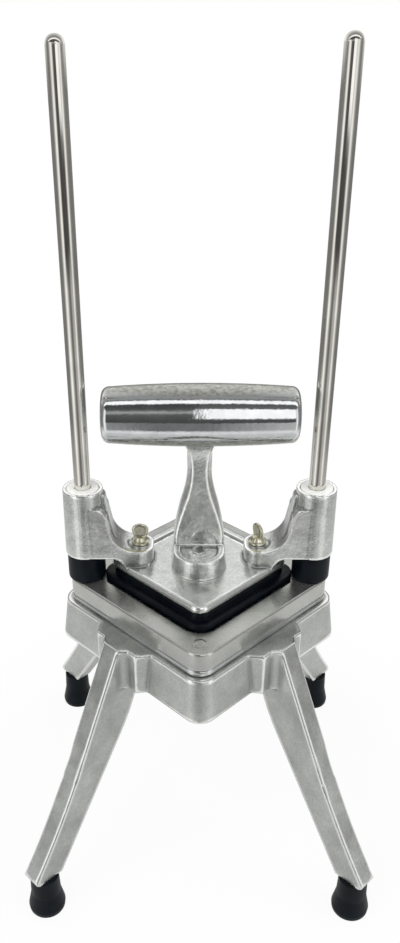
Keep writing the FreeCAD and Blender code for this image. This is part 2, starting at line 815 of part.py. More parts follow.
def makeHandle():
    body = newBody("t_handle")
    half = size("foot_pad_half")
    centre = -10.0
    rear = 13.0
    corner = 5.0
    bend = corner * (1 - math.sin(math.pi / 4))
    foot = newSketch(body, "foot_outline", "XY_Plane", "head_floor + 0.1")
    outline(foot, (half, centre), [
        ((half, rear - corner),),
        ((half - bend, rear - bend), (half - corner, rear)),
        ((corner - half, rear),),
        ((bend - half, rear - bend), (-half, rear - corner)),
        ((-half, centre),),
        ((0, centre - half), (half, centre)),
    ])
    pad(body, "foot", foot, "foot_pad_top - head_floor - 0.1", taper=-size("foot_pad_draft"))

    sections = [
        ("stem_foot", "foot_pad_top - 2", 15.4, -3.8, 9.5, 2.6),
        ("stem_low", "240", 12.9, -4.2, 8.6, 2.6),
        ("stem_waist", "254", 8.6, -4.6, 7.4, 2.6),
        ("stem_neck", "268", 6.0, -5.2, 6.4, 2.6),
        ("stem_high", "281", 6.3, -5.8, 6.0, 2.6),
        ("stem_top", "292", 9.5, -8.0, 8.0, 3.2),
    ]
    sketches = [stemSection(body, *values) for values in sections]
    stem = body.newObject("PartDesign::AdditiveLoft", "stem")
    stem.Profile = sketches[0]
    stem.Sections = sketches[1:]
    body.Tip = stem

    # grip: a barrel that swells in the middle, with rounded ends, lying along X
    length = size("grip_length") / 2
    middle = size("grip_radius_middle")
    end = size("grip_radius_end")
    rounding = size("grip_end_round")
    bend = rounding * (1 - math.sin(math.pi / 4))
    barrel = newSketch(body, "grip_outline", "XZ_Plane", "0")
    height = size("grip_height")
    outline(barrel, (-length, height), [
        ((-length, height + end - rounding),),
        ((bend - length, height + end - bend), (rounding - length, height + end)),
        ((0, height + middle), (length - rounding, height + end)),
        ((length - bend, height + end - bend), (length, height + end - rounding)),
        ((length, height),),
    ])
    grip = body.newObject("PartDesign::Revolution", "grip")
    grip.Profile = barrel
    axis = newSketch(body, "grip_axis", "XZ_Plane", "0")
    axis.addGeometry(Part.LineSegment(Vector(-length, height, 0), Vector(length, height, 0)), False)
    grip.ReferenceAxis = (axis, ["Edge1"])
    grip.Angle = 360
    body.Tip = grip

    # shallow recess on the foot, a scoop that clears the screw head, and the holes
    recess = newSketch(body, "recess_outline", "XY_Plane", "foot_pad_top")
    inner = half - size("recess_inset")
    outline(recess, (inner, centre + 6.0), [
        ((-inner, centre + 6.0),),
        ((-inner, centre),),
        ((0, centre - inner), (inner, centre)),
    ])
    pocket(body, "recess", recess, "recess_depth")
    scoopFloor = size("foot_pad_top")
    scoop = newSketch(body, "scoop_outline", "XZ_Plane", "-1 * handle_screw_y")
    outline(scoop, (0, scoopFloor), [
        ((10.1, scoopFloor),),
        ((9.6, scoopFloor + 5.4), (8.4, scoopFloor + 10.2)),
        ((0, scoopFloor + 10.2),),
    ])
    doc.recompute()
    groove = body.newObject("PartDesign::Groove", "scoop")
    groove.Profile = scoop
    groove.ReferenceAxis = (scoop, ["V_Axis"])
    groove.Angle = 360
    body.Tip = groove
    screwHole = newSketch(body, "screw_circle", "XY_Plane", "foot_pad_top")
    circle(screwHole, "screw", "0", "handle_screw_y", "2.7")
    pocket(body, "screw_hole", screwHole, "foot_pad_top - head_floor")
    boltHole = newSketch(body, "bolt_circle", "XY_Plane", "head_floor + 0.1")
    circle(boltHole, "bolt", "0", "handle_bolt_y", "4.15")
    pocket(body, "bolt_hole", boltHole, "24", upwards=True)
    return body


# Push block: a black plate with square fingers that pass through the grid

def makeBlock():
    body = newBody("push_block", turned=True)
    fingers = newSketch(body, "block_outline", "XY_Plane", "finger_bottom")
    roundedSquare(fingers, "block_half", "block_corner")
    pad(body, "fingers", fingers, "block_ledge - finger_bottom")
    wall = newSketch(body, "wall_outline", "XY_Plane", "block_ledge")
    roundedSquare(wall, "block_wall_half", "head_corner")
    pad(body, "wall", wall, "block_top - block_ledge")

    count = int(size("blade_count"))
    span = "blade_pitch * (blade_count - 1)"
    first = -size("blade_pitch") * (count - 1) / 2
    halfGap = size("finger_gap") / 2
    far = size("block_half") + 1.0
    depth = "finger_root - finger_bottom"
    across = newSketch(body, "gap_across_outline", "XY_Plane", "finger_bottom")
    outline(across, (-far, first - halfGap),
            [((far, first - halfGap),), ((far, first + halfGap),), ((-far, first + halfGap),)])
    gapCut = pocket(body, "gap_across", across, depth, upwards=True)
    linear(body, "gaps_across", [gapCut], "Y_Axis", span, count)
    along = newSketch(body, "gap_along_outline", "XY_Plane", "finger_bottom")
    outline(along, (first - halfGap, -far),
            [((first + halfGap, -far),), ((first + halfGap, far),), ((first - halfGap, far),)])
    gapCut = pocket(body, "gap_along", along, depth, upwards=True)
    linear(body, "gaps_along", [gapCut], "X_Axis", span, count)

    # blind holes for the two inserts and their screws, and a recess for the handle's fixings
    reach = "thumbscrew_reach / sqrt(2)"
    inserts = newSketch(body, "insert_circles", "XY_Plane", "block_top")
    circle(inserts, "left", "-1 * " + reach, reach, "4.05")
    circle(inserts, "right", reach, "-1 * " + reach, "4.05")
    pocket(body, "insert_holes", inserts, "8")
    ends = newSketch(body, "screw_end_circles", "XY_Plane", "block_top - 7")
    circle(ends, "left", "-1 * " + reach, reach, "3.4")
    circle(ends, "right", reach, "-1 * " + reach, "3.4")
    pocket(body, "screw_ends", ends, "6")
    recess = newSketch(body, "fixing_circle", "XY_Plane", "block_top", turn=-45)
    circle(recess, "fixing", "0", "(handle_screw_y + handle_bolt_y) / 2", "17")
    pocket(body, "fixing_recess", recess, "6")
    return body


# Wing thumbscrew: a threaded shank, a collar and a flat paddle

def makeThumbscrew(label, x, turn):
    body = newBody(label)
    shank = size("thumbscrew_radius")
    end = size("thumbscrew_end")
    collar = size("collar_radius")
    seat = size("arm_pad_top") + 1.05
    hub = 4.0
    sketch = newSketch(body, label + "_outline", "XZ_Plane", "0")
    outline(sketch, (0, end), [
        ((shank - 0.7, end),),
        ((shank, end + 0.7),),
        ((shank, seat),),
        ((collar - 0.4, seat),),
        ((collar, seat + 0.4),),
        ((collar, seat + 1.2),),
        ((collar - 0.5, seat + 1.7),),
        ((hub + 0.8, seat + 2.0),),
        ((hub - 0.9, seat + 4.0),),
        ((0, seat + 4.6),),
    ])
    revolve(body, label + "_turned", sketch, "V_Axis")
    top = size("paddle_top")
    wide = 5.3
    widest = top - 4.4
    paddle = newSketch(body, label + "_paddle_outline", "XZ_Plane", "paddle_thickness / -2")
    outline(paddle, (3.0, seat + 2.4), [
        ((3.4, seat + 4.0),),
        ((4.9, seat + 6.0), (wide, widest)),
        ((3.9, top - 1.3), (0, top)),
        ((-3.9, top - 1.3), (-wide, widest)),
        ((-4.9, seat + 6.0), (-3.4, seat + 4.0)),
        ((-3.0, seat + 2.4),),
    ])
    pad(body, label + "_paddle", paddle, "paddle_thickness")
    body.Placement = FreeCAD.Placement(Vector(x, 0, 0), FreeCAD.Rotation(Vector(0, 0, 1), turn))
    return body


# Fasteners: plain solids that share a node where they are the same

def ring(outer, inner, bottom, height):
    body = Part.makeCylinder(outer, height, Vector(0, 0, bottom))
    return body.cut(Part.makeCylinder(inner, height, Vector(0, 0, bottom)))


def hexagon(across, bottom, height):
    radius = across / math.sqrt(3)
    points = []
    for corner in range(7):
        angle = corner * math.pi / 3
        points.append(Vector(radius * math.cos(angle), radius * math.sin(angle), bottom))
    return Part.Face(Part.makePolygon(points)).extrude(Vector(0, 0, height))


def hexNut(across, bore, bottom, height):
    return hexagon(across, bottom, height).cut(Part.makeCylinder(bore, height, Vector(0, 0, bottom)))


def capScrew(shank, bottom, seat, headRadius, headHeight, headBelow=False):
    """A screw with a round head that has a hexagon socket."""
    body = Part.makeCylinder(shank, seat - bottom if not headBelow else bottom - seat,
                             Vector(0, 0, min(bottom, seat)))
    start = seat - headHeight if headBelow else seat
    head = Part.makeCylinder(headRadius, headHeight, Vector(0, 0, start))
    socketDepth = headHeight * 0.6
    socketStart = start if headBelow else start + headHeight - socketDepth
    socket = hexagon(headRadius * 1.05, socketStart, socketDepth)
    return body.fuse(head).cut(socket).removeSplitter()


def single(label, shape, x, y):
    """One solid of this shape, standing at x and y."""
    node = doc.addObject("Part::Feature", label)
    node.Label = label
    node.Shape = shape
    node.Placement = FreeCAD.Placement(Vector(x, y, 0), FreeCAD.Rotation())
    return node


def group(label, shape, places):
    """Copies of one solid at several places, as one node."""
    copies = []
    for x, y in places:
        copy = shape.copy()
        copy.translate(Vector(x, y, 0))
        copies.append(copy)
    return single(label, Part.makeCompound(copies), 0, 0)


# Build every sub-part

rodX = size("rod_reach")
footX = size("foot_reach") / math.sqrt(2)
nodes = [makeBase(), makeCartridge(), makeFrame()]

acrossBlade = makeBlade("blade_across_pattern", slotsFromAbove=True)
alongBlade = makeBlade("blade_along_pattern", slotsFromAbove=False)
nodes.append(makeBladeSet("blades_across", acrossBlade, 45))
nodes.append(makeBladeSet("blades_along", alongBlade, 135))

for name, x in (("left", -rodX), ("right", rodX)):
    nodes.append(makeRod("guide_rod_" + name, x))
    nodes.append(makeBumper("bumper_" + name, x))
    nodes.append(makeBushing("bushing_upper_" + name, x, upper=True))
    nodes.append(makeBushing("bushing_lower_" + name, x, upper=False))
for name, x, y in (("front_left", -footX, -footX), ("front_right", footX, -footX),
                   ("rear_left", -footX, footX), ("rear_right", footX, footX)):
    nodes.append(makeFoot("foot_" + name, x, y))

nodes.append(makeHead())
nodes.append(makeHandle())
nodes.append(makeBlock())
screwX = size("thumbscrew_reach")
nodes.append(makeThumbscrew("thumbscrew_left", -screwX, 0))
nodes.append(makeThumbscrew("thumbscrew_right", screwX, -62))

bossBottom = size("boss_bottom")
rodPlaces = [(-rodX, 0), (rodX, 0)]
screwPlaces = [(0, -rodX), (0, rodX)]
footPlaces = [(-footX, -footX), (footX, -footX), (-footX, footX), (footX, footX)]
thumbPlaces = [(-screwX, 0), (screwX, 0)]
blockTop = size("block_top")
headBottom = size("head_bottom")
screwY = size("handle_screw_y")
nodes.append(group("rod_washers", ring(10.0, 5.2, bossBottom - 1.9, 1.7), rodPlaces))
nodes.append(group("rod_nuts", hexNut(16.0, 5.06, bossBottom - 8.2, 6.0), rodPlaces))
nodes.append(group("frame_washers", ring(6.2, 3.2, bossBottom - 1.6, 1.4), screwPlaces))
frameScrew = capScrew(3.0, 191.5, bossBottom - 1.8, 5.0, 5.0, headBelow=True)
nodes.append(group("frame_screws", frameScrew, screwPlaces))
footScrew = capScrew(2.5, 41.0, 8.9, 4.5, 3.2, headBelow=True)
nodes.append(group("foot_screws", footScrew, footPlaces))
padTop = size("arm_pad_top")
nodes.append(group("thumbscrew_washers", ring(6.4, 3.25, padTop + 0.05, 0.7), thumbPlaces))
nodes.append(group("block_inserts", ring(4.0, 3.0, blockTop - 7.9, 7.7), thumbPlaces))
handleTop = size("foot_pad_top") - size("recess_depth")
nodes.append(single("handle_screw", capScrew(2.6, 199.6, handleTop + 0.1, 4.9, 3.6), 0, screwY))
nodes.append(single("handle_nut", hexNut(8.0, 2.65, headBottom - 4.4, 4.2), 0, screwY))
boltShape = capScrew(4.0, 231.0, headBottom - 0.2, 6.4, 4.6, headBelow=True)
nodes.append(single("handle_bolt", boltShape, 0, size("handle_bolt_y")))

doc.recompute()


# Check every object, then write one file for each node

for item in doc.Objects:
    if "Invalid" in item.State or "Error" in item.State:
        raise RuntimeError("failed: " + item.Name + " " + str(item.State))
triangles = 0
for node in nodes:
    shape = node.Shape
    if shape.isNull() or not shape.isValid():
        raise RuntimeError("bad shape: " + node.Label)
    count = len(shape.tessellate(0.1)[1])
    triangles += count
    box = shape.BoundBox
    print("%-20s solids %2d  volume %9.0f  faces %4d  triangles %5d  z %.1f to %.1f" % (
        node.Label, len(shape.Solids), shape.Volume, len(shape.Faces), count, box.ZMin, box.ZMax))
    shape.exportStep("parts/" + node.Label + ".step")
print("nodes", len(nodes), "triangles", triangles)
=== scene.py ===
import bmesh
import bpy
import math
import numpy as np
from mathutils import Matrix, Vector


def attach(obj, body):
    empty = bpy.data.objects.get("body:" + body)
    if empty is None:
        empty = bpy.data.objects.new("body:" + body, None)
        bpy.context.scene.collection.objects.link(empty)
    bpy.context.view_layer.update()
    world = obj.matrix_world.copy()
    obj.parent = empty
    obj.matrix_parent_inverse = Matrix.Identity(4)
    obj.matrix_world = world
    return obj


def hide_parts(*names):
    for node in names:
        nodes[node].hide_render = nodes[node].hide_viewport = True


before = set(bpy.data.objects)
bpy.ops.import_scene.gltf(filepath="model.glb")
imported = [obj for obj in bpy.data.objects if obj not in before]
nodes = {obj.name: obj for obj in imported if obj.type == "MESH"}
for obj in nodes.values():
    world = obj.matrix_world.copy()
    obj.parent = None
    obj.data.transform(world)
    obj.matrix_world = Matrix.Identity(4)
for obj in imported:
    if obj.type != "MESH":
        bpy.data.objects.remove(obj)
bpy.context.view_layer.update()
print("frame loaded:", len(nodes), "nodes")


# small helpers; lengths are metres from here on, and names that end in Mm hold millimetres

def linearColour(hexText):
    # an sRGB hex colour as the linear colour that a shader socket takes
    values = np.array([int(hexText[i:i + 2], 16) / 255 for i in (1, 3, 5)])
    linear = np.where(values <= 0.04045, values / 12.92, ((values + 0.055) / 1.055) ** 2.4)
    return (*linear.tolist(), 1.0)


def addNode(tree, kind, settings=None, links=None):
    # settings are the node's own options or its inputs' values, links are its inputs' sources
    node = tree.nodes.new(kind)
    for key, value in (settings or {}).items():
        if isinstance(key, str) and hasattr(node, key):
            setattr(node, key, value)
        else:
            node.inputs[key].default_value = value
    for key, source in (links or {}).items():
        tree.links.new(source, node.inputs[key])
    return node


def newMaterial(name):
    material = bpy.data.materials.new(name)
    material.use_nodes = True
    tree = material.node_tree
    tree.nodes.clear()
    return material, tree


def colourSteps(tree, source, steps):
    # a colour ramp from (place, hex) pairs
    ramp = addNode(tree, "ShaderNodeValToRGB", links={"Fac": source})
    elements = ramp.color_ramp.elements
    while len(elements) > len(steps):
        elements.remove(elements[-1])
    while len(elements) < len(steps):
        elements.new(0.5)
    for element, (place, hexText) in zip(elements, steps):
        element.position = place
        element.color = linearColour(hexText)
    return ramp.outputs["Color"]


def twoTone(tree, source, hexes):
    # noise as one colour below, another above and a soft change between
    return colourSteps(tree, source, [(0.3, hexes[0]), (0.7, hexes[1])])


def span(tree, source, fromLow, fromHigh, toLow=0.0, toHigh=1.0):
    # one range of numbers stretched onto another, held at its ends
    node = addNode(tree, "ShaderNodeMapRange",
                   {"From Min": fromLow, "From Max": fromHigh, "To Min": toLow, "To Max": toHigh},
                   {"Value": source})
    return node.outputs["Result"]


def arithmetic(tree, operation, first, second):
    # one sum of two sources or plain numbers
    settings, links = {"operation": operation}, {}
    for socket, value in ((0, first), (1, second)):
        if isinstance(value, (int, float)):
            settings[socket] = value
        else:
            links[socket] = value
    return addNode(tree, "ShaderNodeMath", settings, links).outputs[0]


def times(tree, first, second):
    return arithmetic(tree, "MULTIPLY", first, second)


def mixColour(tree, factor, first, second, blend="MIX"):
    # two colours mixed; the factor is a source or a plain number, the colours are sources or hex texts
    settings, links = {"data_type": "RGBA", "blend_type": blend}, {}
    for socket, value in ((0, factor), (6, first), (7, second)):
        if isinstance(value, str):
            settings[socket] = linearColour(value)
        elif isinstance(value, (int, float)):
            settings[socket] = value
        else:
            links[socket] = value
    return addNode(tree, "ShaderNodeMix", settings, links).outputs[2]


def noise(tree, place, sizeMm, detail=2.0, roughness=0.5, stretch=None):
    # noise whose blobs are about sizeMm across
    vector = place
    if stretch:
        mapping = addNode(tree, "ShaderNodeMapping", {"Scale": stretch}, {"Vector": place})
        vector = mapping.outputs["Vector"]
    node = addNode(tree, "ShaderNodeTexNoise",
                   {"Scale": 1000 / (2 * sizeMm), "Detail": detail, "Roughness": roughness},
                   {"Vector": vector})
    return node.outputs["Fac"]


def objectPlace(tree):
    return addNode(tree, "ShaderNodeTexCoord").outputs["Object"]


def bumped(tree, height, strength, distanceMm, normal=None):
    # the shading normal over relief of this depth, on top of another normal where one is given
    links = {"Height": height} if normal is None else {"Height": height, "Normal": normal}
    settings = {"Strength": strength, "Distance": distanceMm / 1000}
    return addNode(tree, "ShaderNodeBump", settings, links).outputs["Normal"]


def mixNumber(tree, factor, first, second):
    # a source mixed with a plain number
    return addNode(tree, "ShaderNodeMix", {"data_type": "FLOAT", 3: second}, {0: factor, 2: first}).outputs[0]


def finishMaterial(material, settings, links):
    # the shader and its output
    tree = material.node_tree
    shader = addNode(tree, "ShaderNodeBsdfPrincipled", settings, links)
    addNode(tree, "ShaderNodeOutputMaterial", links={"Surface": shader.outputs["BSDF"]})
    return material


def dress(piece, material):
    piece.data.materials.clear()
    piece.data.materials.append(material)


def linked(name, data):
    # a new object that shows the data, in the scene
    item = bpy.data.objects.new(name, data)
    bpy.context.scene.collection.objects.link(item)
    return item


def shadeSmooth(mesh):
    mesh.polygons.foreach_set("use_smooth", np.full(len(mesh.polygons), True))


def meshPiece(name, points, faces):
    mesh = bpy.data.meshes.new(name)
    mesh.from_pydata(np.asarray(points).tolist(), [], faces)
    mesh.validate()
    shadeSmooth(mesh)
    return linked(name, mesh)


def pointsOf(mesh, what="co"):
    values = np.empty(len(mesh.vertices) * 3)
    mesh.vertices.foreach_get(what, values)
    return values.reshape(-1, 3)


def setPoints(mesh, points):
    mesh.vertices.foreach_set("co", points.ravel())
    mesh.update()


def setRubbed(mesh, values):
    # how much each point leans to the edge colour or the hollow colour, -1 to 1, which the castings'
    # materials
    # read: the lighter edge colour is partly real wear and partly painted highlight, the darker one painted
    # shade
    mesh.attributes.new("wearSheenShade", "FLOAT", "POINT").data.foreach_set("value", values.astype(np.float32))


def moved(piece, turnDegrees=0.0, shift=(0, 0, 0)):
    # the mesh's points turned about Z and then shifted; the object itself stays at the origin
    turn = math.radians(turnDegrees)
    matrix = np.array([[math.cos(turn), -math.sin(turn), 0], [math.sin(turn), math.cos(turn), 0], [0, 0, 1]])
    setPoints(piece.data, pointsOf(piece.data) @ matrix.T + np.array(shift))
    return piece


def gridFaces(rows, columns, closedAlong=False):
    # the quads between neighbouring points of a grid whose rows are closed rings, as whole arrays
    i = np.arange(rows if closedAlong else rows - 1)[:, None]
    j = np.arange(columns)[None, :]
    nextI, nextJ = (i + 1) % rows, (j + 1) % columns
    quads = np.stack([i * columns + j, i * columns + nextJ, nextI * columns + nextJ, nextI * columns + j], -1)
    return quads.reshape(-1, 4).tolist()


def softProfile(cornersMm, stepMm=1.2):
    # corners are (radius, height, rounding) in millimetres: each becomes an arc of that rounding, and the
    # straights between them get points every step, so that shading stays even
    corners = [np.array(corner, float) for corner in cornersMm]
    points = []
    for index, corner in enumerate(corners):
        place, rounding = corner[:2], corner[2]
        if rounding <= 0 or index in (0, len(corners) - 1):
            points.append(place)
            continue
        before = corners[index - 1][:2] - place
        after = corners[index + 1][:2] - place
        before, after = before / np.linalg.norm(before), after / np.linalg.norm(after)
        half = math.acos(np.clip(before @ after, -1, 1)) / 2
        reach = rounding / math.tan(half)
        centre = place + (before + after) / np.linalg.norm(before + after) * rounding / math.sin(half)
        start, end = place + before * reach, place + after * reach
        fromAngle = math.atan2(*(start - centre)[::-1])
        turn = math.atan2(*(end - centre)[::-1]) - fromAngle
        turn = (turn + math.pi) % (2 * math.pi) - math.pi
        for part in np.linspace(0, 1, 7):
            angle = fromAngle + turn * part
            points.append(centre + rounding * np.array([math.cos(angle), math.sin(angle)]))
    path = [points[0]]
    for point in points[1:]:
        gap = np.linalg.norm(point - path[-1])
        if gap < 1e-4:
            continue
        count = max(1, int(gap / stepMm))
        path.extend(path[-1] + (point - path[-1]) * part for part in np.linspace(0, 1, count + 1)[1:])
    return np.array(path) / 1000


def turnedPoints(profile, segments, flats=None, thread=None):
    # x = r cos a, y = r sin a, z = height, with r from the profile. Where flats gives half the distance
    # across a hexagon, r = min(profile, flats / cos(a folded to 30 degrees)). A thread adds
    # depth x triangle wave(height / pitch - a / full turn) between its two heights
    angles = np.arange(segments) * 2 * math.pi / segments
    radius = np.repeat(profile[:, 0][:, None], segments, 1)
    height = np.repeat(profile[:, 1][:, None], segments, 1)
    if flats is not None:
        folded = np.abs((angles + math.pi / 6) % (math.pi / 3) - math.pi / 6)
        radius = np.minimum(radius, np.asarray(flats)[:, None] / np.cos(folded)[None, :])
    if thread:
        phase = (height / thread["pitch"] - angles[None, :] / (2 * math.pi)) % 1
        ridge = np.abs(phase - 0.5) * 2
        fade = np.clip((height - thread["low"]) / thread["pitch"], 0, 1)
        fade = fade * np.clip((thread["high"] - height) / thread["pitch"], 0, 1)
        radius = radius - np.where(radius > thread["core"], thread["depth"] * ridge * fade, 0)
    return np.stack([radius * np.cos(angles), radius * np.sin(angles), height], -1)


def turnedPiece(name, profile, centre=(0, 0), segments=72, flats=None, thread=None):
    # a profile of (radius, height) swung round an upright axis. A radius of nought at an end closes it with
    # one point; a profile that ends where it began is a ring
    ring = np.allclose(profile[0], profile[-1])
    if ring:
        profile = profile[:-1]
        flats = None if flats is None else flats[:-1]
    grid = turnedPoints(profile, segments, flats, thread)
    poleLow, poleHigh = profile[0][0] < 1e-9, profile[-1][0] < 1e-9
    grid = grid[1 if poleLow else 0:len(profile) - (1 if poleHigh else 0)]
    rows = len(grid)
    points = grid.reshape(-1, 3)
    faces = gridFaces(rows, segments, ring)
    around = np.arange(segments)
    if poleLow:
        points = np.vstack([points, [0, 0, profile[0][1]]])
        faces += np.stack([(around + 1) % segments, around, np.full(segments, len(points) - 1)], -1).tolist()
    if poleHigh:
        last = (rows - 1) * segments
        points = np.vstack([points, [0, 0, profile[-1][1]]])
        faces += np.stack([last + around, last + (around + 1) % segments,
                           np.full(segments, len(points) - 1)], -1).tolist()
    return outward(meshPiece(name, points + np.array([centre[0], centre[1], 0]), faces))


def outward(piece):
    # normals pointing out, after doubles are merged
    work = bmesh.new()
    work.from_mesh(piece.data)
    bmesh.ops.remove_doubles(work, verts=work.verts, dist=1e-7)
    bmesh.ops.recalc_face_normals(work, faces=work.faces)
    work.to_mesh(piece.data)
    work.free()
    return piece


def joined(name, pieces):
    # several closed shells as one piece
    work = bmesh.new()
    for piece in pieces:
        work.from_mesh(piece.data)
        bpy.data.objects.remove(piece)
    mesh = bpy.data.meshes.new(name)
    work.to_mesh(mesh)
    work.free()
    return linked(name, mesh)


def creased(piece, degrees):
    # smooth shading that breaks at edges sharper than this
    shadeSmooth(piece.data)
    piece.data.set_sharp_from_angle(angle=math.radians(degrees))
    return piece


def baked(piece):
    # the piece's modifiers applied to its mesh
    graph = bpy.context.evaluated_depsgraph_get()
    mesh = bpy.data.meshes.new_from_object(piece.evaluated_get(graph))
    mesh.name = piece.name
    piece.modifiers.clear()
    piece.data = mesh
    return piece


def cadCopy(name, node):
    # a merged copy of a CAD node's triangles, to be worked on
    return outward(linked(name, nodes[node].data.copy()))


def cutAway(piece, above, planes):
    # of the faces that lie above this height, all on the positive side of each plane is cut off, and each
    # cut is closed
    work = bmesh.new()
    work.from_mesh(piece.data)
    for place, normal in planes:
        faces = [face for face in work.faces if min(vert.co.z for vert in face.verts) > above]
        verts = list({vert for face in faces for vert in face.verts})
        edges = list({edge for face in faces for edge in face.edges})
        cut = bmesh.ops.bisect_plane(work, geom=verts + edges + faces, plane_co=place, plane_no=normal,
                                     clear_outer=True)
        rim = [item for item in cut["geom_cut"] if isinstance(item, bmesh.types.BMEdge)]
        bmesh.ops.triangle_fill(work, edges=rim, use_beauty=True)
    bmesh.ops.recalc_face_normals(work, faces=work.faces)
    work.to_mesh(piece.data)
    work.free()
    return piece


def neighbourMean(mesh):
    # a function that gives each point the mean of its neighbours' values
    ends = np.empty(len(mesh.edges) * 2, dtype=np.int64)
    mesh.edges.foreach_get("vertices", ends)
    first, second = ends.reshape(-1, 2).T
    count = len(mesh.vertices)
    neighbours = np.bincount(ends, minlength=count)[:, None]

    def averaged(values):
        total = [np.bincount(first, values[second, k], count) + np.bincount(second, values[first, k], count)
                 for k in range(values.shape[1])]
        return np.stack(total, 1) / neighbours

    return averaged


def softenBend(piece, plan):
    # the legs' outer edges eased where they begin to curve: each point moves half way to its neighbours'
    # mean, times a weight that falls off above and below the bend and towards the middle of the object
    points, averaged = pointsOf(piece.data), neighbourMean(piece.data)
    reach = np.hypot(points[:, 0], points[:, 1]) * 1000
    weight = np.clip(1 - np.abs(points[:, 2] * 1000 - plan["heightMm"]) / plan["spanMm"], 0, 1)
    weight = (weight * np.clip((reach - plan["reachMm"]) / plan["reachSpanMm"], 0, 1))[:, None]
    for _ in range(plan["passes"]):
        points = points + 0.5 * weight * (averaged(points) - points)
    setPoints(piece.data, points)


def levelRim(piece, plan):
    # the plate's raised border let down to the level of its floor: over the border z falls by the border's
    # height x a weight that fades below and above its top, at four heights counted from that top. Between
    # slopeFromMm and slopeToMm from the middle, across the plate's sides, its sloping inner side is laid flat
    points = pointsOf(piece.data)
    across = (np.abs(points[:, 0]) + np.abs(points[:, 1])) / math.sqrt(2) * 1000
    z = points[:, 2] * 1000
    floor, top = plan["floorMm"], plan["topMm"]
    fade = top + np.array(plan["fadeMm"])
    border = z - (top - floor) * np.interp(z, fade, [0, 1, 1, 0])
    inner = np.where((z > floor) & (z < fade[2]), floor, border)
    inner = np.where(z <= floor + 0.02, z, inner)
    level = np.where(across > plan["slopeToMm"], border, np.where(across > plan["slopeFromMm"], inner, z))
    points[:, 2] = level / 1000
    setPoints(piece.data, points)


def markEdges(piece, plan):
    # how far each point stands proud of its neighbourhood, kept on the mesh as the attribute that the
    # castings'
    # materials read: (place - place averaged over neighbours, spread times) along the normal, over proudMm,
    # held to -1..1. Proud points get a lighter colour there, partly real wear and partly painted highlight,
    # and sunken points a darker one, which is painted shade
    mesh = piece.data
    points, normals = pointsOf(mesh), pointsOf(mesh, "normal")
    averaged = neighbourMean(mesh)
    soft = points
    for _ in range(plan["spread"]):
        soft = averaged(soft)
    proud = ((points - soft) * normals).sum(1, keepdims=True)
    for _ in range(2):
        proud = averaged(proud)
    setRubbed(mesh, np.clip(proud[:, 0] * 1000 / plan["proudMm"], -1, 1))


def flared(piece, plan):
    # the sides drawn outwards behind the front face: x moves away from the middle by widthMm x how far back
    # the point lies x how near it is to the waist, both eased as 3t^2 - 2t^3, and less near the middle
    points = pointsOf(piece.data)
    back = np.clip((points[:, 1] * 1000 - plan["frontMm"]) / plan["depthMm"], 0, 1)
    height = np.interp(points[:, 2] * 1000, plan["heightsMm"], plan["amounts"])
    ease = lambda t: t * t * (3 - 2 * t)
    aside = np.clip(np.abs(points[:, 0]) * 1000 / plan["middleMm"], 0, 1)
    points[:, 0] += np.sign(points[:, 0]) * plan["widthMm"] / 1000 * ease(back) * ease(height) * aside
    setPoints(piece.data, points)


def castingCopy(name, plan):
    # a copy of a CAD solid rebuilt in small cells and eased, so that its edges and inner corners round over
    # as casting and tumbling leave them. A solid that stands at 45 degrees is turned while it is rebuilt, so
    # that its flat sides lie along the cells
    piece = cadCopy(name, plan["node"])
    if "cut" in plan:
        cutAway(piece, plan["cutAbove"], plan["cut"])
    moved(piece, plan["turn"])
    skin = piece.modifiers.new("cells", "REMESH")
    skin.mode = "VOXEL"
    skin.voxel_size = plan["cellMm"] / 1000
    ease = piece.modifiers.new("ease", "SMOOTH")
    ease.factor = 0.5
    ease.iterations = 2
    baked(piece)
    moved(piece, -plan["turn"])
    for key, change in (("flare", flared), ("bend", softenBend), ("rim", levelRim)):
        if key in plan:
            change(piece, plan[key])
    markEdges(piece, plan)
    thin = piece.modifiers.new("thin", "DECIMATE")
    thin.ratio = plan["keep"]
    baked(piece)
    shadeSmooth(piece.data)
    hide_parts(plan["node"])
    return piece


# materials

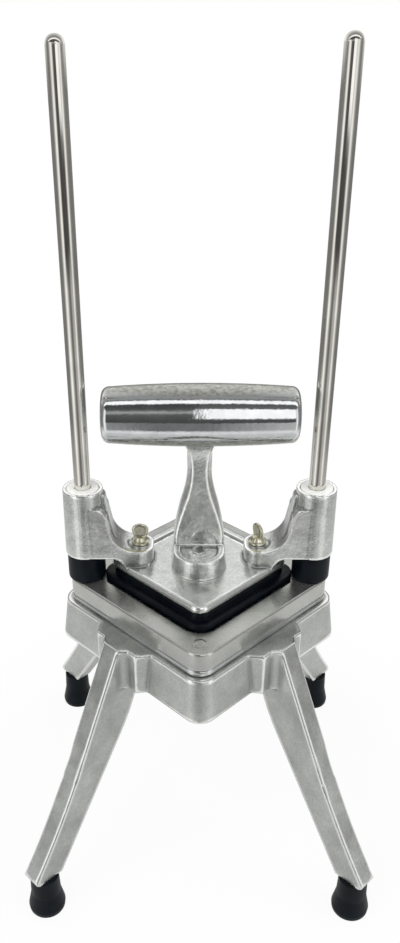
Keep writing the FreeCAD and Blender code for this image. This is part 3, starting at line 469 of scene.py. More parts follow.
def castAluminium(name, look):
    # tumbled sand-cast aluminium: a pale grey metal with a fine sandy tooth and faint cloudy patches,
    # edges and high spots lighter, partly real rubbing and partly painted highlight, and inner corners
    # darker, which is painted shade
    material, tree = newMaterial(name)
    place = objectPlace(tree)
    # the attribute that drives the lighter edge colour (partly wear, partly painted highlight) and the
    # painted shade in hollows
    wearSheenShade = addNode(tree, "ShaderNodeAttribute", {"attribute_name": "wearSheenShade"}).outputs["Fac"]
    grit = noise(tree, place, look["gritMm"], 3.0, 0.6)
    patches = noise(tree, place, look["patchMm"], 3.0, 0.55)
    broken = noise(tree, place, look["patchMm"] * 0.3, 3.0, 0.6)
    pits = addNode(tree, "ShaderNodeTexVoronoi", {"Scale": 1000 / look["pitMm"]},
                   {"Vector": place}).outputs["Distance"]
    waves = noise(tree, place, look["waveMm"], 1.0, 0.5)
    ragged = times(tree, broken, look["edgeBroken"])
    # edges and high spots get a lighter, glossier colour: partly real wear, partly painted highlight
    edge = span(tree, arithmetic(tree, "ADD", wearSheenShade, ragged), *look["edge"])
    # painted shade: points that sit lower than their neighbours, in inner corners and recesses, are mixed
    # towards a darker grey
    hollow = span(tree, wearSheenShade, look["hollowFull"], look["hollowFrom"], look["hollow"], 0.0)
    patchColour = twoTone(tree, patches, look["hexes"])
    gritShade = colourSteps(tree, grit, [(0.30, "#C9C9C9"), (0.70, "#FFFFFF")])
    toothed = mixColour(tree, look["gritShade"], patchColour, gritShade, "MULTIPLY")
    # the darker grey mixed into hollows as painted shade
    recessShaded = mixColour(tree, hollow, toothed, look["hollowHex"])
    # lighter edge colour mixed in, partly real wear and partly painted highlight
    wearAndSheen = mixColour(tree, edge, recessShaded, look["edgeHex"])
    roughByPatch = span(tree, patches, 0.3, 0.7, *look["rough"])
    rough = mixNumber(tree, edge, roughByPatch, look["edgeRough"])
    height = arithmetic(tree, "ADD", grit, span(tree, pits, 0.0, look["pitWidth"]))
    waved = bumped(tree, waves, look["waveBump"], 0.6)
    bump = bumped(tree, height, look["bump"], 0.12, waved)
    return finishMaterial(material, {"Metallic": look["metal"]},
                          {"Base Color": wearAndSheen, "Roughness": rough, "Normal": bump})


def polishedAluminium(name, look):
    # hand-polished cast aluminium: nearly a mirror round the middle, with buffing ripples and small dings,
    # and sandy and duller along the top and the underside, where the wheel didn't reach
    material, tree = newMaterial(name)
    place = objectPlace(tree)
    ripple = noise(tree, place, look["rippleMm"], 2.0, 0.5, (0.35, 1.0, 1.0))
    dings = noise(tree, place, look["dingMm"], 1.0, 0.5)
    haze = noise(tree, place, look["hazeMm"], 3.0, 0.6)
    height = addNode(tree, "ShaderNodeSeparateXYZ", links={"Vector": place}).outputs["Z"]
    ragged = arithmetic(tree, "ADD", height, times(tree, haze, look["raggedMm"] / 1000))
    below = span(tree, ragged, look["underFrom"], look["underTo"], 1.0, 0.0)
    above = span(tree, ragged, look["overFrom"], look["overTo"])
    under = arithmetic(tree, "MAXIMUM", below, above)
    bright = twoTone(tree, haze, look["hexes"])
    sandy = colourSteps(tree, dings, [(0.35, look["sandDarkHex"]), (0.65, look["sandLightHex"])])
    colour = mixColour(tree, under, bright, sandy)
    polishedRough = span(tree, haze, 0.3, 0.7, *look["rough"])
    rough = mixNumber(tree, under, polishedRough, look["sandRough"])
    rippled = bumped(tree, ripple, look["rippleBump"], 0.3)
    dinged = bumped(tree, dings, look["dingBump"], 0.12, rippled)
    return finishMaterial(material, {"Metallic": 1.0},
                          {"Base Color": colour, "Roughness": rough, "Normal": dinged})


def drawnSteel(name, look):
    # drawn or ground metal: fine scratches along one direction over a bright ground
    material, tree = newMaterial(name)
    place = objectPlace(tree)
    scratch = noise(tree, place, look["scratchMm"], 2.0, 0.6, look["along"])
    haze = noise(tree, place, look["hazeMm"], 2.0, 0.5)
    colour = twoTone(tree, haze, look["hexes"])
    rough = span(tree, scratch, 0.3, 0.7, *look["rough"])
    bump = bumped(tree, scratch, look["bump"], 0.03)
    return finishMaterial(material, {"Metallic": 1.0},
                          {"Base Color": colour, "Roughness": rough, "Normal": bump})


def mouldedPolymer(name, look):
    # moulded rubber or plastic: an even ground with a faint mould texture and dusty, lighter scuffs
    material, tree = newMaterial(name)
    place = objectPlace(tree)
    texture = noise(tree, place, look["textureMm"], 2.0, 0.5)
    scuffs = noise(tree, place, look["scuffMm"], 4.0, 0.65)
    colour = colourSteps(tree, scuffs, [(0.35, look["groundHex"]), (0.75, look["scuffHex"])])
    rough = span(tree, scuffs, 0.35, 0.75, *look["rough"])
    bump = bumped(tree, texture, look["bump"], 0.05)
    return finishMaterial(material, {"IOR": look["ior"], "Specular IOR Level": look["specular"]},
                          {"Base Color": colour, "Roughness": rough, "Normal": bump})


# the darkest grey below is painted shade for hollows; the lightest is the edge colour, partly real wear and
# partly painted highlight
# grit of cast aluminium is about 0.2 mm; it is drawn at 0.7 mm, because one pixel of the render is as wide
castLook = {"hexes": ("#BCBEBB", "#DADCD8"), "edgeHex": "#F0F1EE", "hollowHex": "#858785", "metal": 0.92,
            "gritMm": 0.7, "patchMm": 9.0, "pitMm": 2.6, "waveMm": 4.0, "pitWidth": 0.18, "gritShade": 0.5,
            "hollow": 0.7, "hollowFull": -0.75, "hollowFrom": -0.12, "edgeBroken": 0.34, "edge": (0.62, 1.05),
            "rough": (0.30, 0.42), "edgeRough": 0.12, "bump": 0.5, "waveBump": 0.25}
castBody = castAluminium("castAluminiumTumbled", castLook)
castHead = castAluminium("castAluminiumHead", {
    **castLook, "hexes": ("#CFD1CE", "#EAECE8"), "edgeHex": "#FBFCFA", "patchMm": 5.0,
    "waveMm": 3.4, "rough": (0.14, 0.26), "waveBump": 0.34, "bump": 0.8, "edge": (0.46, 0.85)})
frameTop = castAluminium("castAluminiumGround", {
    **castLook, "hexes": ("#B4B5B0", "#CBCCC7"), "edgeHex": "#DEDFDB", "gritMm": 0.5,
    "waveMm": 7.0, "gritShade": 0.3, "rough": (0.20, 0.32), "bump": 0.14, "waveBump": 0.3,
    "edge": (0.8, 1.3)})
castStem = castAluminium("castAluminiumStem", {
    **castLook, "hexes": ("#D4D6D3", "#F2F4F0"), "edgeHex": "#FDFEFC", "gritMm": 0.9,
    "patchMm": 3.0, "waveMm": 3.2, "rough": (0.14, 0.24), "waveBump": 0.16, "bump": 1.0,
    "edge": (0.42, 0.8)})
gripPolish = polishedAluminium("polishedAluminium", {
    "hexes": ("#D6D8D9", "#E8EAEB"), "sandDarkHex": "#A3A39C", "sandLightHex": "#C9C9C2",
    "rippleMm": 3.0, "dingMm": 1.3, "hazeMm": 4.0, "raggedMm": 2.0, "underFrom": 0.2970, "underTo": 0.3000,
    "overFrom": 0.3245, "overTo": 0.3262, "rough": (0.02, 0.06), "sandRough": 0.30,
    "rippleBump": 0.10, "dingBump": 0.42})

# each row's columns are named below it
metals = {
    "stainlessRodPolished": (0.4, 12.0, (1.0, 1.0, 0.04), ("#D4D2CA", "#E8E6DF"), (0.03, 0.09), 0.03),
    "stainlessPlateBright": (0.5, 9.0, (0.3, 0.3, 1.0), ("#D2D4D4", "#E8EAEA"), (0.12, 0.22), 0.1),
    "bladeSteelGround": (0.4, 7.0, (1.0, 1.0, 0.1), ("#C4C7C9", "#DDE0E2"), (0.15, 0.28), 0.12),
    "stainlessFastener": (0.35, 3.0, (1.0, 1.0, 0.3), ("#CFD1D1", "#EDEFEF"), (0.1, 0.2), 0.1),
    "nickelPlatedWing": (0.6, 2.5, (1.0, 1.0, 1.0), ("#C6C2A8", "#F0EDDA"), (0.12, 0.22), 0.1),
    "turnedBrass": (0.4, 3.0, (1.0, 1.0, 0.2), ("#B08A45", "#CFAE68"), (0.2, 0.3), 0.1)}
metalKeys = ("scratchMm", "hazeMm", "along", "hexes", "rough", "bump")
rodSteel, plateSteel, bladeSteel, fastenerSteel, nickel, brass = (
    drawnSteel(name, dict(zip(metalKeys, row))) for name, row in metals.items())
polymers = {
    "mouldedRubber": (0.6, 5.0, "#03080E", "#0E1821", (0.34, 0.5), 0.12, 1.52, 0.14),
    "blackNylon": (0.5, 6.0, "#04080E", "#0A1018", (0.24, 0.38), 0.08, 1.53, 0.16),
    "whiteAcetal": (0.5, 4.0, "#FDFDFB", "#F6F6F2", (0.3, 0.45), 0.04, 1.48, 0.5)}
polymerKeys = ("textureMm", "scuffMm", "groundHex", "scuffHex", "rough", "bump", "ior", "specular")
rubber, nylon, acetal = (mouldedPolymer(name, dict(zip(polymerKeys, row))) for name, row in polymers.items())
print("materials made")


# castings: copies of the CAD solids with eased edges

castings = {
    "baseCasting": {"node": "base_casting", "body": "base", "finish": castBody, "slot": "cast_aluminium",
        "cellMm": 0.72, "turn": 45.0, "keep": 0.48, "spread": 18, "proudMm": 0.46,
        "bend": {"heightMm": 106.0, "spanMm": 10.0, "reachMm": 98.0, "reachSpanMm": 4.0,
        "passes": 24}},
    "bladeFrame": {"node": "blade_frame", "body": "base", "finish": frameTop, "slot": "cast_aluminium",
        "cellMm": 0.46, "turn": 45.0, "keep": 0.5, "spread": 12, "proudMm": 0.24},
    "headCasting": {"node": "head_casting", "body": "push_head", "finish": castHead,
        "slot": "cast_aluminium", "cellMm": 0.5, "turn": 0.0, "keep": 0.55, "spread": 12,
        "proudMm": 0.24, "rim": {"floorMm": 209.0, "topMm": 211.5, "slopeFromMm": 28.0,
        "slopeToMm": 32.8, "fadeMm": (-6.5, -2.6, 0.3, 3.0)}},
    "handleStem": {"node": "t_handle", "body": "push_head", "finish": castStem, "slot": "polished_casting",
        "cellMm": 0.42, "turn": 0.0, "keep": 1.0, "spread": 12, "proudMm": 0.22,
        "cutAbove": 0.285, "cut": [((0.013, 0, 0.3), (1, 0, 0)), ((-0.013, 0, 0.3), (-1, 0, 0)),
        ((0, 0, 0.300), (0, 0, 1))],
        "flare": {"frontMm": -4.6, "depthMm": 5.0, "widthMm": 1.6, "middleMm": 3.0,
        "heightsMm": (230, 252, 276, 291), "amounts": (0, 1, 1, 0)}},
}
for name, plan in castings.items():
    piece = castingCopy(name, plan)
    dress(piece, plan["finish"])
    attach(piece, plan["body"])
    print("casting", name, len(piece.data.polygons), "faces")


# the raised lip that closes the foot's recess behind, under the stem's front face

sill = {"halfMm": 15.3, "place": (-3.9, 220.75), "radiusMm": 0.75, "wearSheenShade": 0.9}


def makeSill(plan):
    # a bar along X with round ends: x = half sin v, and a circle of radius x cos(v) to a small power round it
    v = np.linspace(-math.pi / 2, math.pi / 2, 41)[1:-1, None]
    u = np.arange(24)[None, :] * 2 * math.pi / 24
    radius = plan["radiusMm"] * np.cos(v) ** 0.22
    grid = np.stack(np.broadcast_arrays(plan["halfMm"] * np.sin(v), plan["place"][0] + radius * np.cos(u),
                                        plan["place"][1] + radius * np.sin(u)), -1).reshape(-1, 3)
    rows, columns = len(v), u.shape[1]
    tips = [(-plan["halfMm"], *plan["place"]), (plan["halfMm"], *plan["place"])]
    faces = gridFaces(rows, columns)
    last = (rows - 1) * columns
    for k in range(columns):
        faces.append((rows * columns, k, (k + 1) % columns))
        faces.append((rows * columns + 1, last + (k + 1) % columns, last + k))
    piece = outward(meshPiece("handleSill", np.vstack([grid, tips]) / 1000, faces))
    # every point of the lip gets the lighter edge colour in full: a painted highlight along the lip
    setRubbed(piece.data, np.full(len(piece.data.vertices), plan["wearSheenShade"]))
    return piece


handleSill = makeSill(sill)
dress(handleSill, castStem)
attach(handleSill, "push_head")
print("handle sill made")


# small round marks that the frame casting has over its two screws

frameMark = {"reachMm": 72.0, "topMm": 196.0, "profileMm": [
    (0, 196.55, 0), (1.1, 196.50, 0.15), (1.4, 196.02, 0.1), (2.3, 196.02, 0.1), (2.6, 196.55, 0.15),
    (3.1, 196.55, 0.2), (3.5, 195.9, 0)]}


def makeFrameMark(name, plan, y):
    # a dot inside a ring: the profile is swung round an upright axis and closed underneath
    profile = np.vstack([softProfile(plan["profileMm"], 0.4), [(0, plan["topMm"] / 1000 - 0.0001)]])
    return turnedPiece(name, profile[::-1], (0, y), 40)


for side, y in (("front", -frameMark["reachMm"] / 1000), ("rear", frameMark["reachMm"] / 1000)):
    piece = makeFrameMark("frameMark_" + side, frameMark, y)
    dress(piece, frameTop)
    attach(piece, "base")
print("frame marks made")


# grip

grip = {"length": 0.1160, "height": 0.3085, "middle": 0.01862, "end": 0.01672, "endRound": 0.0046}


def makeGrip(plan):
    # radius = middle - (middle - end) x (distance from the middle / half length) squared, then a quarter
    # round into a nearly flat end; the profile is swung round the long axis
    half = plan["length"] / 2
    flat = half - plan["endRound"]
    x = np.linspace(-flat, flat, 121)
    radius = plan["middle"] - (plan["middle"] - plan["end"]) * (x / flat) ** 2
    turn = np.linspace(0, math.pi / 2, 13)[1:]
    endX = flat + plan["endRound"] * np.sin(turn)
    endRadius = plan["end"] - plan["endRound"] * (1 - np.cos(turn))
    discRadius = np.linspace(endRadius[-1], 0, 13)[1:]
    discX = half + 0.0006 * (1 - (discRadius / endRadius[-1]) ** 2)
    right = np.column_stack([np.r_[endRadius, discRadius], np.r_[endX, discX]])
    left = np.column_stack([right[::-1, 0], -right[::-1, 1]])
    profile = np.vstack([left, np.column_stack([radius, x]), right])
    piece = turnedPiece("gripBarrel", profile, (0, 0), 160)
    points = pointsOf(piece.data)
    setPoints(piece.data, np.column_stack([points[:, 2], points[:, 1], plan["height"] - points[:, 0]]))
    return outward(piece)


gripBarrel = makeGrip(grip)
dress(gripBarrel, gripPolish)
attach(gripBarrel, "push_head")
print("grip made")


# guide rods, their bushings and bumpers

rods = {"reach": 0.072, "segments": 64,
        "rodMm": [(0, 151.0, 0), (5.0, 151.0, 0.8), (5.0, 508.0, 4.6), (0, 508.0, 0)],
        "bumperMm": [(5.15, 205, 0), (5.15, 196.1, 0.5), (12.0, 196.1, 1.3), (12.0, 214.3, 1.0),
            (5.15, 214.3, 0.7), (5.15, 205, 0)],
        "upperBushingMm": [(5.05, 252, 0), (5.05, 244.3, 0.3), (7.5, 244.3, 0.3), (7.5, 258.1, 0.1),
            (10.0, 258.1, 0.3), (10.0, 260.3, 0.7), (5.05, 260.3, 0.6), (5.05, 252, 0)],
        "lowerBushingMm": [(5.05, 222, 0), (5.05, 214.7, 0.6), (10.0, 214.7, 0.7), (10.0, 216.9, 0.3),
            (7.5, 216.9, 0.1), (7.5, 230.7, 0.3), (5.05, 230.7, 0.3), (5.05, 222, 0)]}
for side, x in (("left", -rods["reach"]), ("right", rods["reach"])):
    for name, key, node, finish, slotName, body, step in (
            ("guideRod_", "rodMm", "guide_rod_", rodSteel, "polished_rod", "base", 4.0),
            ("rodBumper_", "bumperMm", "bumper_", rubber, "black_rubber", "base", 1.5),
            ("upperBushing_", "upperBushingMm", "bushing_upper_", acetal, "white_plastic", "push_head", 1.2),
            ("lowerBushing_", "lowerBushingMm", "bushing_lower_", acetal, "white_plastic", "push_head", 1.2)):
        piece = turnedPiece(name + side, softProfile(rods[key], step), (x, 0), rods["segments"])
        dress(piece, finish)
        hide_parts(node + side)
        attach(piece, body)
print("rods, bumpers and bushings made")


# rubber feet

feet = {"reach": 0.140600 / math.sqrt(2), "segments": 64,
        "profileMm": [(6.0, 4.5, 0), (6.0, 0, 0.5), (11.5, 0, 1.8), (11.95, 4.2, 2.4), (10.9, 9.0, 6.0),
                      (9.7, 15.0, 9.0), (9.2, 29.85, 0.5), (2.7, 29.85, 0.3), (2.7, 9.0, 0.2),
                      (6.0, 9.0, 0.3), (6.0, 4.5, 0)]}
corners = {"front_left": (-1, -1), "front_right": (1, -1), "rear_left": (-1, 1), "rear_right": (1, 1)}
for side, (x, y) in corners.items():
    piece = turnedPiece("rubberFoot_" + side, softProfile(feet["profileMm"], 1.5),
                        (x * feet["reach"], y * feet["reach"]), feet["segments"])
    dress(piece, rubber)
    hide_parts("foot_" + side)
    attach(piece, "base")
print("feet made")


# wing thumbscrews: a turned shank with a thread, a collar, and a round flat paddle on top

thumbscrew = {"reach": 0.0372, "leftTurn": 0.0, "rightTurn": -62.0, "shankMm": 2.95, "endMm": 192.5,
              "seatMm": 220.65,
              "thread": {"pitch": 0.0010, "depth": 0.00035, "low": 0.1925, "high": 0.2155, "core": 0.002},
              "paddle": {"middleMm": 229.4, "heightMm": 4.4, "neckMm": 222.6, "widthMm": 5.3, "thickMm": 2.6,
                         "neckHalfMm": 2.6}}


def makePaddle(plan):
    # outline: x = width sin a, z = middle + height cos a, the lower half drawn down to a narrower neck;
    # across: y = half thickness sin b and the outline shrinks by cos b, each to a power, so that the rim is
    # full and round, and the faces are a little hollow
    a = np.arange(72) * 2 * math.pi / 72
    b = np.linspace(-math.pi / 2, math.pi / 2, 19)[:, None]
    down = np.clip(-np.cos(a), 0, 1)
    neck = plan["neckHalfMm"] * np.sign(np.sin(a)) * down ** 4 * np.abs(np.sin(a)) ** 0.3
    x = plan["widthMm"] * np.sin(a) * (1 - 0.12 * down) + neck
    z = np.where(np.cos(a) > 0, plan["heightMm"] * np.cos(a), (plan["middleMm"] - plan["neckMm"]) * np.cos(a))
    shrink = np.abs(np.cos(b)) ** 0.35
    dish = 1 - 0.22 * (1 - shrink ** 2)
    y = plan["thickMm"] / 2 * np.sign(np.sin(b)) * np.abs(np.sin(b)) ** 0.8 * dish
    grid = np.stack(np.broadcast_arrays(x * shrink, y, plan["middleMm"] + z * shrink), -1) / 1000
    return outward(meshPiece("paddle", grid.reshape(-1, 3), gridFaces(len(b), len(a))))


def makeThumbscrew(name, plan, x, turnDegrees):
    shank, seat, end = plan["shankMm"], plan["seatMm"], plan["endMm"]
    profile = softProfile([(0, end, 0), (shank - 0.6, end, 0.2), (shank, end + 0.7, 0.2), (shank, seat, 0.1),
                           (5.9, seat, 0.35), (5.9, seat + 1.35, 0.4), (4.7, seat + 2.1, 0.5),
                           (3.3, seat + 4.2, 1.0), (0, seat + 4.9, 0)], 0.16)
    turned = turnedPiece(name + "Turned", profile, (0, 0), 56, None, plan["thread"])
    whole = joined(name, [turned, makePaddle(plan["paddle"])])
    moved(whole, turnDegrees, (x, 0, 0))
    shadeSmooth(whole.data)
    return whole


for side, x, turn in (("left", -thumbscrew["reach"], thumbscrew["leftTurn"]),
                      ("right", thumbscrew["reach"], thumbscrew["rightTurn"])):
    piece = makeThumbscrew("wingScrew_" + side, thumbscrew, x, turn)
    dress(piece, nickel)
    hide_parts("thumbscrew_" + side)
    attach(piece, "thumbscrew_" + side)
print("thumbscrews made")


# nuts, washers, inserts and screws

def makeWasher(name, plan, centre):
    # a ring with rounded corners, whose profile begins and ends half way up its bore
    bore, outer, low, high = (plan[key] for key in ("boreMm", "outerMm", "lowMm", "highMm"))
    within, without = plan["roundsMm"]
    begin = (bore, round((low + high) / 2), 0)
    profile = softProfile([begin, (bore, low, within), (outer, low, without), (outer, high, without),
                           (bore, high, within), begin], 1.0)
    return turnedPiece(name, profile, centre, 56)


def makeNut(name, plan, centre):
    # a hexagon with both faces turned off to a cone: r = min(cone, half across flats / cos(folded angle))
    half, bore, low, high = plan["acrossMm"] / 2, plan["boreMm"], plan["lowMm"], plan["highMm"]
    corner = half / math.cos(math.pi / 6)
    drop = (corner - half) * 0.6
    rings = [(bore, (low + high) / 2, corner), (bore, low + 0.3, corner), (bore + 0.3, low, corner),
             (half - 0.2, low, corner), (corner, low + drop, half), (corner, high - drop, half),
             (half - 0.2, high, corner), (bore + 0.3, high, corner), (bore, high - 0.3, corner),
             (bore, (low + high) / 2, corner)]
    path, flats = [], []
    for (r0, h0, f0), (r1, h1, f1) in zip(rings, rings[1:]):
        steps = max(2, int(math.hypot(r1 - r0, h1 - h0) / 0.4))
        for part in np.arange(steps) / steps:
            path.append((r0 + (r1 - r0) * part, h0 + (h1 - h0) * part))
            flats.append(half if path[-1][0] > half - 0.2 else corner)
    path.append(path[0])
    flats.append(corner)
    return turnedPiece(name, np.array(path) / 1000, centre, 96, np.array(flats) / 1000)


def makeSocketScrew(name, plan, centre):
    # a round head with a hexagon socket: the socket's rings are held to the hexagon, the others are round
    sign = 1 if plan["headMm"] > plan["seatMm"] else -1
    head, radius, socket = plan["headMm"], plan["radiusMm"], plan["socketMm"] / 2
    depth = abs(head - plan["seatMm"]) * 0.6
    round_ = softProfile([(0, plan["endMm"], 0), (plan["shankMm"], plan["endMm"], 0.4),
                          (plan["shankMm"], plan["seatMm"], 0.15), (radius, plan["seatMm"], 0.2),
                          (radius, head, plan["headRoundMm"]), (socket * 1.16 + 0.25, head, 0)], 0.8)
    wall = [(socket * 1.16, head - sign * 0.2), (socket * 1.16, head - sign * depth * 0.5),
            (socket * 1.16, head - sign * depth), (socket * 0.5, head - sign * (depth + 0.1)),
            (0, head - sign * (depth + 0.3))]
    profile = np.vstack([round_, np.array(wall) / 1000])
    flats = np.r_[np.full(len(round_), 1.0), np.full(3, socket / 1000), np.full(2, 1.0)]
    return turnedPiece(name, profile, centre, 72, flats)


def makeHexScrew(name, plan, centre):
    # a hexagon head with its top turned off to a cone: its rings are held to the hexagon, the shank is round
    head, seat, radius, shank = plan["headMm"], plan["seatMm"], plan["radiusMm"], plan["shankMm"]
    half = radius * math.cos(math.pi / 6)
    profile = softProfile([(0, plan["endMm"], 0), (shank, plan["endMm"], 0.4), (shank, seat, 0.15),
                           (radius, seat, 0.1), (radius, head - 0.7, 0.1), (half - 0.15, head, 0.15),
                           (half - 0.9, head - 0.12, 0.3), (0, head - 0.12, 0)], 0.5)
    flats = np.where(profile[:, 0] * 1000 > half - 0.1, half / 1000, 1.0)
    return turnedPiece(name, profile, centre, 96, flats)


onRods = [(-rods["reach"], 0), (rods["reach"], 0)]
underFrame = [(0, -frameMark["reachMm"] / 1000), (0, frameMark["reachMm"] / 1000)]
underWings = [(-thumbscrew["reach"], 0), (thumbscrew["reach"], 0)]
inFeet = [(x * feet["reach"], y * feet["reach"]) for x in (-1, 1) for y in (-1, 1)]
fixingKinds = {
    "washer": (makeWasher, ("boreMm", "outerMm", "lowMm", "highMm", "roundsMm")),
    "nut": (makeNut, ("boreMm", "acrossMm", "lowMm", "highMm")),
    "screw": (makeSocketScrew, ("shankMm", "endMm", "seatMm", "headMm", "radiusMm", "headRoundMm",
                                "socketMm")),
    "hexScrew": (makeHexScrew, ("shankMm", "endMm", "seatMm", "headMm", "radiusMm"))}
# each fixing's node, body, kind and places, and then the sizes of its kind
fixings = {
    "rodWashers": ("rod_washers", "base", "washer", onRods, 5.2, 10.0, 158.1, 159.8, (0.25, 0.35)),
    "rodNuts": ("rod_nuts", "base", "nut", onRods, 5.06, 16.0, 151.8, 157.8),
    "frameWashers": ("frame_washers", "base", "washer", underFrame, 3.2, 6.2, 158.4, 159.8, (0.2, 0.3)),
    "frameScrews": ("frame_screws", "base", "screw", underFrame, 3.0, 191.5, 158.2, 153.2, 5.0, 0.5, 5.0),
    "footScrews": ("foot_screws", "base", "screw", inFeet, 2.5, 41.0, 8.9, 5.7, 4.5, 0.5, 4.0),
    "wingWashers": ("thumbscrew_washers", "push_head", "washer", underWings, 3.25, 6.4, 219.65, 220.35,
                    (0.12, 0.2)),
    "blockInserts": ("block_inserts", "push_head", "washer", underWings, 3.0, 4.0, 196.3, 204.0, (0.3, 0.3)),
    "handleScrew": ("handle_screw", "push_head", "hexScrew", [(0, -0.0127)], 2.6, 199.6, 219.3, 222.9, 4.9),
    "handleNut": ("handle_nut", "push_head", "nut", [(0, -0.0127)], 2.65, 8.0, 200.1, 204.3),
    "handleBolt": ("handle_bolt", "push_head", "screw", [(0, 0.0025)], 4.0, 231.0, 204.3, 199.7, 6.4, 0.6,
                   6.0)}
for name, (node, body, kind, places, *sizes) in fixings.items():
    make, keys = fixingKinds[kind]
    plan = dict(zip(keys, sizes))
    piece = joined(name, [make(name + str(index), plan, centre) for index, centre in enumerate(places)])
    creased(piece, 60 if kind == "washer" else 30)
    finish, slotName = (brass, "brass") if name == "blockInserts" else (fastenerSteel, "fastener_steel")
    dress(piece, finish)
    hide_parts(node)
    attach(piece, body)
print("fixings made")


# push block: the CAD solid with its moulded edges eased

block = {"node": "push_block", "easeMm": 0.35, "segments": 2, "fromDegrees": 40.0}


def bevelledCopy(name, plan):
    # the flat faces are put together again, and then every hard edge gets a small round
    piece = cadCopy(name, plan["node"])
    work = bmesh.new()
    work.from_mesh(piece.data)
    bmesh.ops.dissolve_limit(work, angle_limit=math.radians(0.5), verts=work.verts, edges=work.edges)
    work.to_mesh(piece.data)
    work.free()
    round_ = piece.modifiers.new("ease", "BEVEL")
    round_.width = plan["easeMm"] / 1000
    round_.segments = plan["segments"]
    round_.limit_method = "ANGLE"
    round_.angle_limit = math.radians(plan["fromDegrees"])
    round_.harden_normals = True
    shadeSmooth(piece.data)
    baked(piece)
    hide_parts(plan["node"])
    return piece


pushBlock = bevelledCopy("pushBlock", block)
dress(pushBlock, nylon)
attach(pushBlock, "push_head")
print("push block made", len(pushBlock.data.polygons))

for node, material, slotName in (("cartridge_plate", plateSteel, "bright_plate"),
                                 ("blades_across", bladeSteel, "blade_steel"),
                                 ("blades_along", bladeSteel, "blade_steel")):
    dress(nodes[node], material)
print("plate and blades dressed")


# floor, room, lights and camera

stage = {"floorHalf": 6.0, "floorHex": "#F6F6F5", "white": 1.0, "fadeNear": 0.15, "fadeFar": 0.26,
         "nearAmount": 0.92, "worldLight": 0.68, "lampTarget": (0, 0, 0.2),
         "lamps": {"keyLamp": {"place": (-0.9, -0.9, 1.7), "size": 1.0, "watts": 12.0},
                   "fillLamp": {"place": (1.2, -0.5, 1.3), "size": 1.0, "watts": 7.0}}}


def seenRays(tree):
    # 1 for rays from the camera, from mirrors and through glass
    rays = addNode(tree, "ShaderNodeLightPath")
    seen = arithmetic(tree, "MAXIMUM", rays.outputs["Is Camera Ray"], rays.outputs["Is Glossy Ray"])
    return arithmetic(tree, "MAXIMUM", seen, rays.outputs["Is Transmission Ray"])


def makeFloor(plan):
    # a wide pale floor: the camera sees it fade to plain white away from the object, mirrors don't see it
    half = plan["floorHalf"]
    points = np.array([(-half, -half, 0), (half, -half, 0), (half, half, 0), (-half, half, 0)])
    floor = meshPiece("floor", points, [(0, 1, 2, 3)])
    material, tree = newMaterial("paleFloor")
    distance = addNode(tree, "ShaderNodeVectorMath", {"operation": "LENGTH"},
                       {0: objectPlace(tree)}).outputs["Value"]
    fade = span(tree, distance, plan["fadeNear"], plan["fadeFar"], plan["nearAmount"], 1.0)
    amount = times(tree, fade, seenRays(tree))
    paint = addNode(tree, "ShaderNodeBsdfDiffuse", {"Color": linearColour(plan["floorHex"])})
    white = addNode(tree, "ShaderNodeEmission", {"Color": (1, 1, 1, 1), "Strength": plan["white"]})
    mixed = addNode(tree, "ShaderNodeMixShader", links={0: amount, 1: paint.outputs[0], 2: white.outputs[0]})
    addNode(tree, "ShaderNodeOutputMaterial", links={"Surface": mixed.outputs[0]})
    floor.data.materials.append(material)
    floor.visible_glossy = False


def makeWorld(plan):
    # white room: full white to the camera, softer as a light
    world = bpy.data.worlds.new("studio")
    bpy.context.scene.world = world
    world.use_nodes = True
    tree = world.node_tree
    tree.nodes.clear()
    strength = span(tree, seenRays(tree), 0.0, 1.0, plan["worldLight"], 1.0)
    glow = addNode(tree, "ShaderNodeBackground", {"Color": (1, 1, 1, 1)}, {"Strength": strength})
    addNode(tree, "ShaderNodeOutputWorld", links={"Surface": glow.outputs[0]})


def makeLamp(name, plan, target):
    data = bpy.data.lights.new(name, "AREA")
    data.shape = "RECTANGLE"
    data.size = data.size_y = plan["size"]
    data.energy = plan["watts"]
    lamp = linked(name, data)
    lamp.location = plan["place"]
    lamp.rotation_euler = (Vector(target) - Vector(plan["place"])).to_track_quat("-Z", "Y").to_euler()


# what polished metal mirrors: a dome that only mirrors see, with the dark room, the lit panels and the gaps
# between them. Each row gives sRGB greys by degrees: round from the front to the right, or over from the
# front's level to the zenith and on to the back; sweep and its ranges go by height in millimetres, counted
# from the dome's foot. The other pairs are ranges of degrees over which one part fades into another
dome = {"radius": 0.62, "height": 0.30, "strength": 1.25,
        "roundLow": [(-180, 128), (-110, 116), (-76, 118), (-62, 186), (-52, 245), (-40, 236), (-30, 196),
            (-20, 146), (-10, 108), (2, 110), (10, 142), (18, 170), (36, 178), (45, 236), (55, 228),
            (65, 172), (73, 136), (88, 116), (110, 116), (180, 128)],
        "upRight": [(-30, 60), (5, 78), (8, 120), (10, 215), (12, 255), (42, 255), (44, 190), (46, 100),
            (60, 84), (62, 100), (64, 190), (66, 255), (75, 255), (78, 170), (80, 100), (84, 140),
            (98, 148), (106, 180), (120, 205), (150, 240), (180, 240)],
        "upLeft": [(-30, 56), (5, 74), (18, 84), (25, 96), (29, 140), (33, 156), (37, 130), (41, 92),
            (45, 76), (60, 64), (62, 84), (64, 190), (66, 255), (75, 255), (78, 165), (80, 96),
            (84, 140), (98, 148), (106, 180), (120, 200), (150, 232), (180, 232)],
        "sweep": [(-320, 184), (-210, 190), (-150, 212), (-90, 218), (-50, 198), (0, 178), (60, 178)],
        "frontRound": (26, 40), "frontUp": (-8, -4), "backRound": (80, 120), "backUp": (12, 20),
        "overheadUp": (33, 37), "leftToRight": (-1, 3), "sweepFront": (-120, -50), "sweepSide": (0, 80),
        "sideRound": (60, 72)}


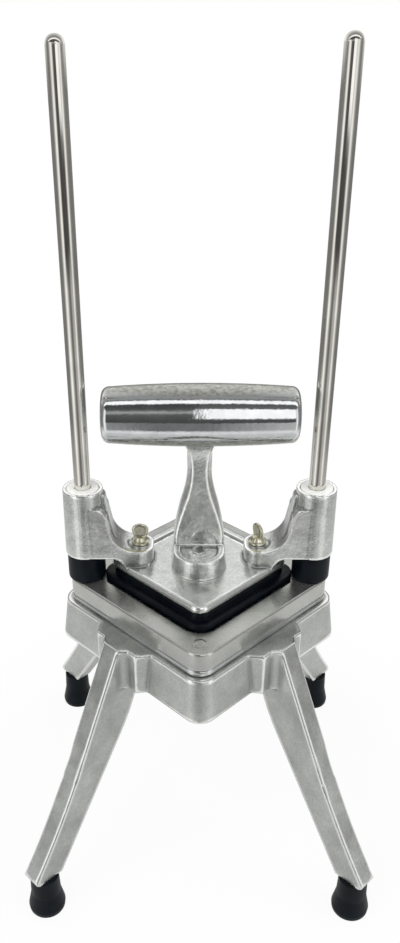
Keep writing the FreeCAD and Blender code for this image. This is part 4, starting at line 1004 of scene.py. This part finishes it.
def greySteps(tree, source, fromLow, fromHigh, steps):
    # a ramp of sRGB greys over a range of degrees
    place = span(tree, source, fromLow, fromHigh)
    return colourSteps(tree, place, [((degrees - fromLow) / (fromHigh - fromLow), "#" + ("%02X" % grey) * 3)
                                     for degrees, grey in steps])


def makeDome(plan):
    # a ball: radius cos v, height radius sin v, for v from the nadir to the zenith
    v = np.linspace(-math.pi / 2, math.pi / 2, 49)
    profile = np.column_stack([plan["radius"] * np.cos(v), plan["radius"] * np.sin(v)])
    profile[[0, -1], 0] = 0
    piece = turnedPiece("mirrorDome", profile, (0, 0), 96)
    material, tree = newMaterial("mirrorDomePaint")
    axes = addNode(tree, "ShaderNodeSeparateXYZ", links={"Vector": objectPlace(tree)})
    x, y, z = (axes.outputs[key] for key in "XYZ")
    ahead = times(tree, y, -1.0)
    degrees = 180 / math.pi
    round_ = times(tree, arithmetic(tree, "ARCTAN2", x, ahead), degrees)
    over = times(tree, arithmetic(tree, "ARCTAN2", z, ahead), degrees)
    flat = arithmetic(tree, "DIVIDE", z, plan["radius"])
    up = times(tree, arithmetic(tree, "ARCSINE", flat, 0.0), degrees)
    low = greySteps(tree, round_, -180, 180, plan["roundLow"])
    rightBands = greySteps(tree, over, -30, 180, plan["upRight"])
    leftBands = greySteps(tree, over, -30, 180, plan["upLeft"])
    bands = mixColour(tree, span(tree, round_, *plan["leftToRight"]), leftBands, rightBands)
    aside = arithmetic(tree, "ABSOLUTE", round_, 0.0)
    inFront = times(tree, span(tree, aside, *plan["frontRound"], 1.0, 0.0), span(tree, up, *plan["frontUp"]))
    behind = times(tree, span(tree, aside, *plan["backRound"]), span(tree, up, *plan["backUp"]))
    overhead = span(tree, up, *plan["overheadUp"])
    useBands = arithmetic(tree, "MAXIMUM", overhead, arithmetic(tree, "MAXIMUM", inFront, behind))
    walls = mixColour(tree, useBands, low, bands)
    level = times(tree, arithmetic(tree, "ADD", z, plan["height"]), 1000.0)
    inFrontLow = span(tree, level, *plan["sweepFront"], 1.0, 0.0)
    besideLow = times(tree, span(tree, level, *plan["sweepSide"], 1.0, 0.0),
                      span(tree, aside, *plan["sideRound"]))
    sweep = greySteps(tree, level, -320, 60, plan["sweep"])
    colour = mixColour(tree, arithmetic(tree, "MAXIMUM", inFrontLow, besideLow), walls, sweep)
    paint = addNode(tree, "ShaderNodeEmission", {"Strength": plan["strength"]}, {"Color": colour})
    addNode(tree, "ShaderNodeOutputMaterial", links={"Surface": paint.outputs[0]})
    piece.data.materials.append(material)
    piece.location = (0, 0, plan["height"])
    piece.visible_camera = piece.visible_diffuse = piece.visible_shadow = False
    piece.visible_transmission = piece.visible_volume_scatter = False


makeFloor(stage)
makeWorld(stage)
for name, plan in stage["lamps"].items():
    makeLamp(name, plan, stage["lampTarget"])
makeDome(dome)
print("stage and lights set")

# the camera that the photograph was taken with: focal length and middle in pixels of a 400 by 943 frame
shot = {"frame": (400, 943), "focal": 893.0, "middle": (166.01, 502.15), "place": (-0.0095, -0.4825, 0.5222),
        "pitch": 29.47, "roll": -0.60, "yaw": 1.32, "sensor": 36.0}


def makeCamera(plan):
    pitch, roll, yaw = (math.radians(plan[key]) for key in ("pitch", "roll", "yaw"))
    turn = Matrix.Rotation(yaw, 3, "Z")
    ahead = turn @ Vector((0, math.cos(pitch), -math.sin(pitch)))
    right = turn @ Vector((1, 0, 0))
    up = turn @ Vector((0, math.sin(pitch), math.cos(pitch)))
    across = math.cos(roll) * right + math.sin(roll) * up
    upwards = -math.sin(roll) * right + math.cos(roll) * up
    data = bpy.data.cameras.new("photoCamera")
    data.sensor_fit = "VERTICAL"
    data.sensor_height = plan["sensor"]
    width, height = plan["frame"]
    data.lens = plan["focal"] * plan["sensor"] / height
    data.shift_x = (width / 2 - plan["middle"][0]) / height
    data.shift_y = (plan["middle"][1] - height / 2) / height
    data.clip_start = 0.01
    camera = linked("photoCamera", data)
    axes = Matrix((across, upwards, -ahead)).transposed().to_4x4()
    camera.matrix_world = Matrix.Translation(Vector(plan["place"])) @ axes
    bpy.context.scene.camera = camera


makeCamera(shot)
bpy.context.scene.view_settings.view_transform = "Standard"
print("camera set")
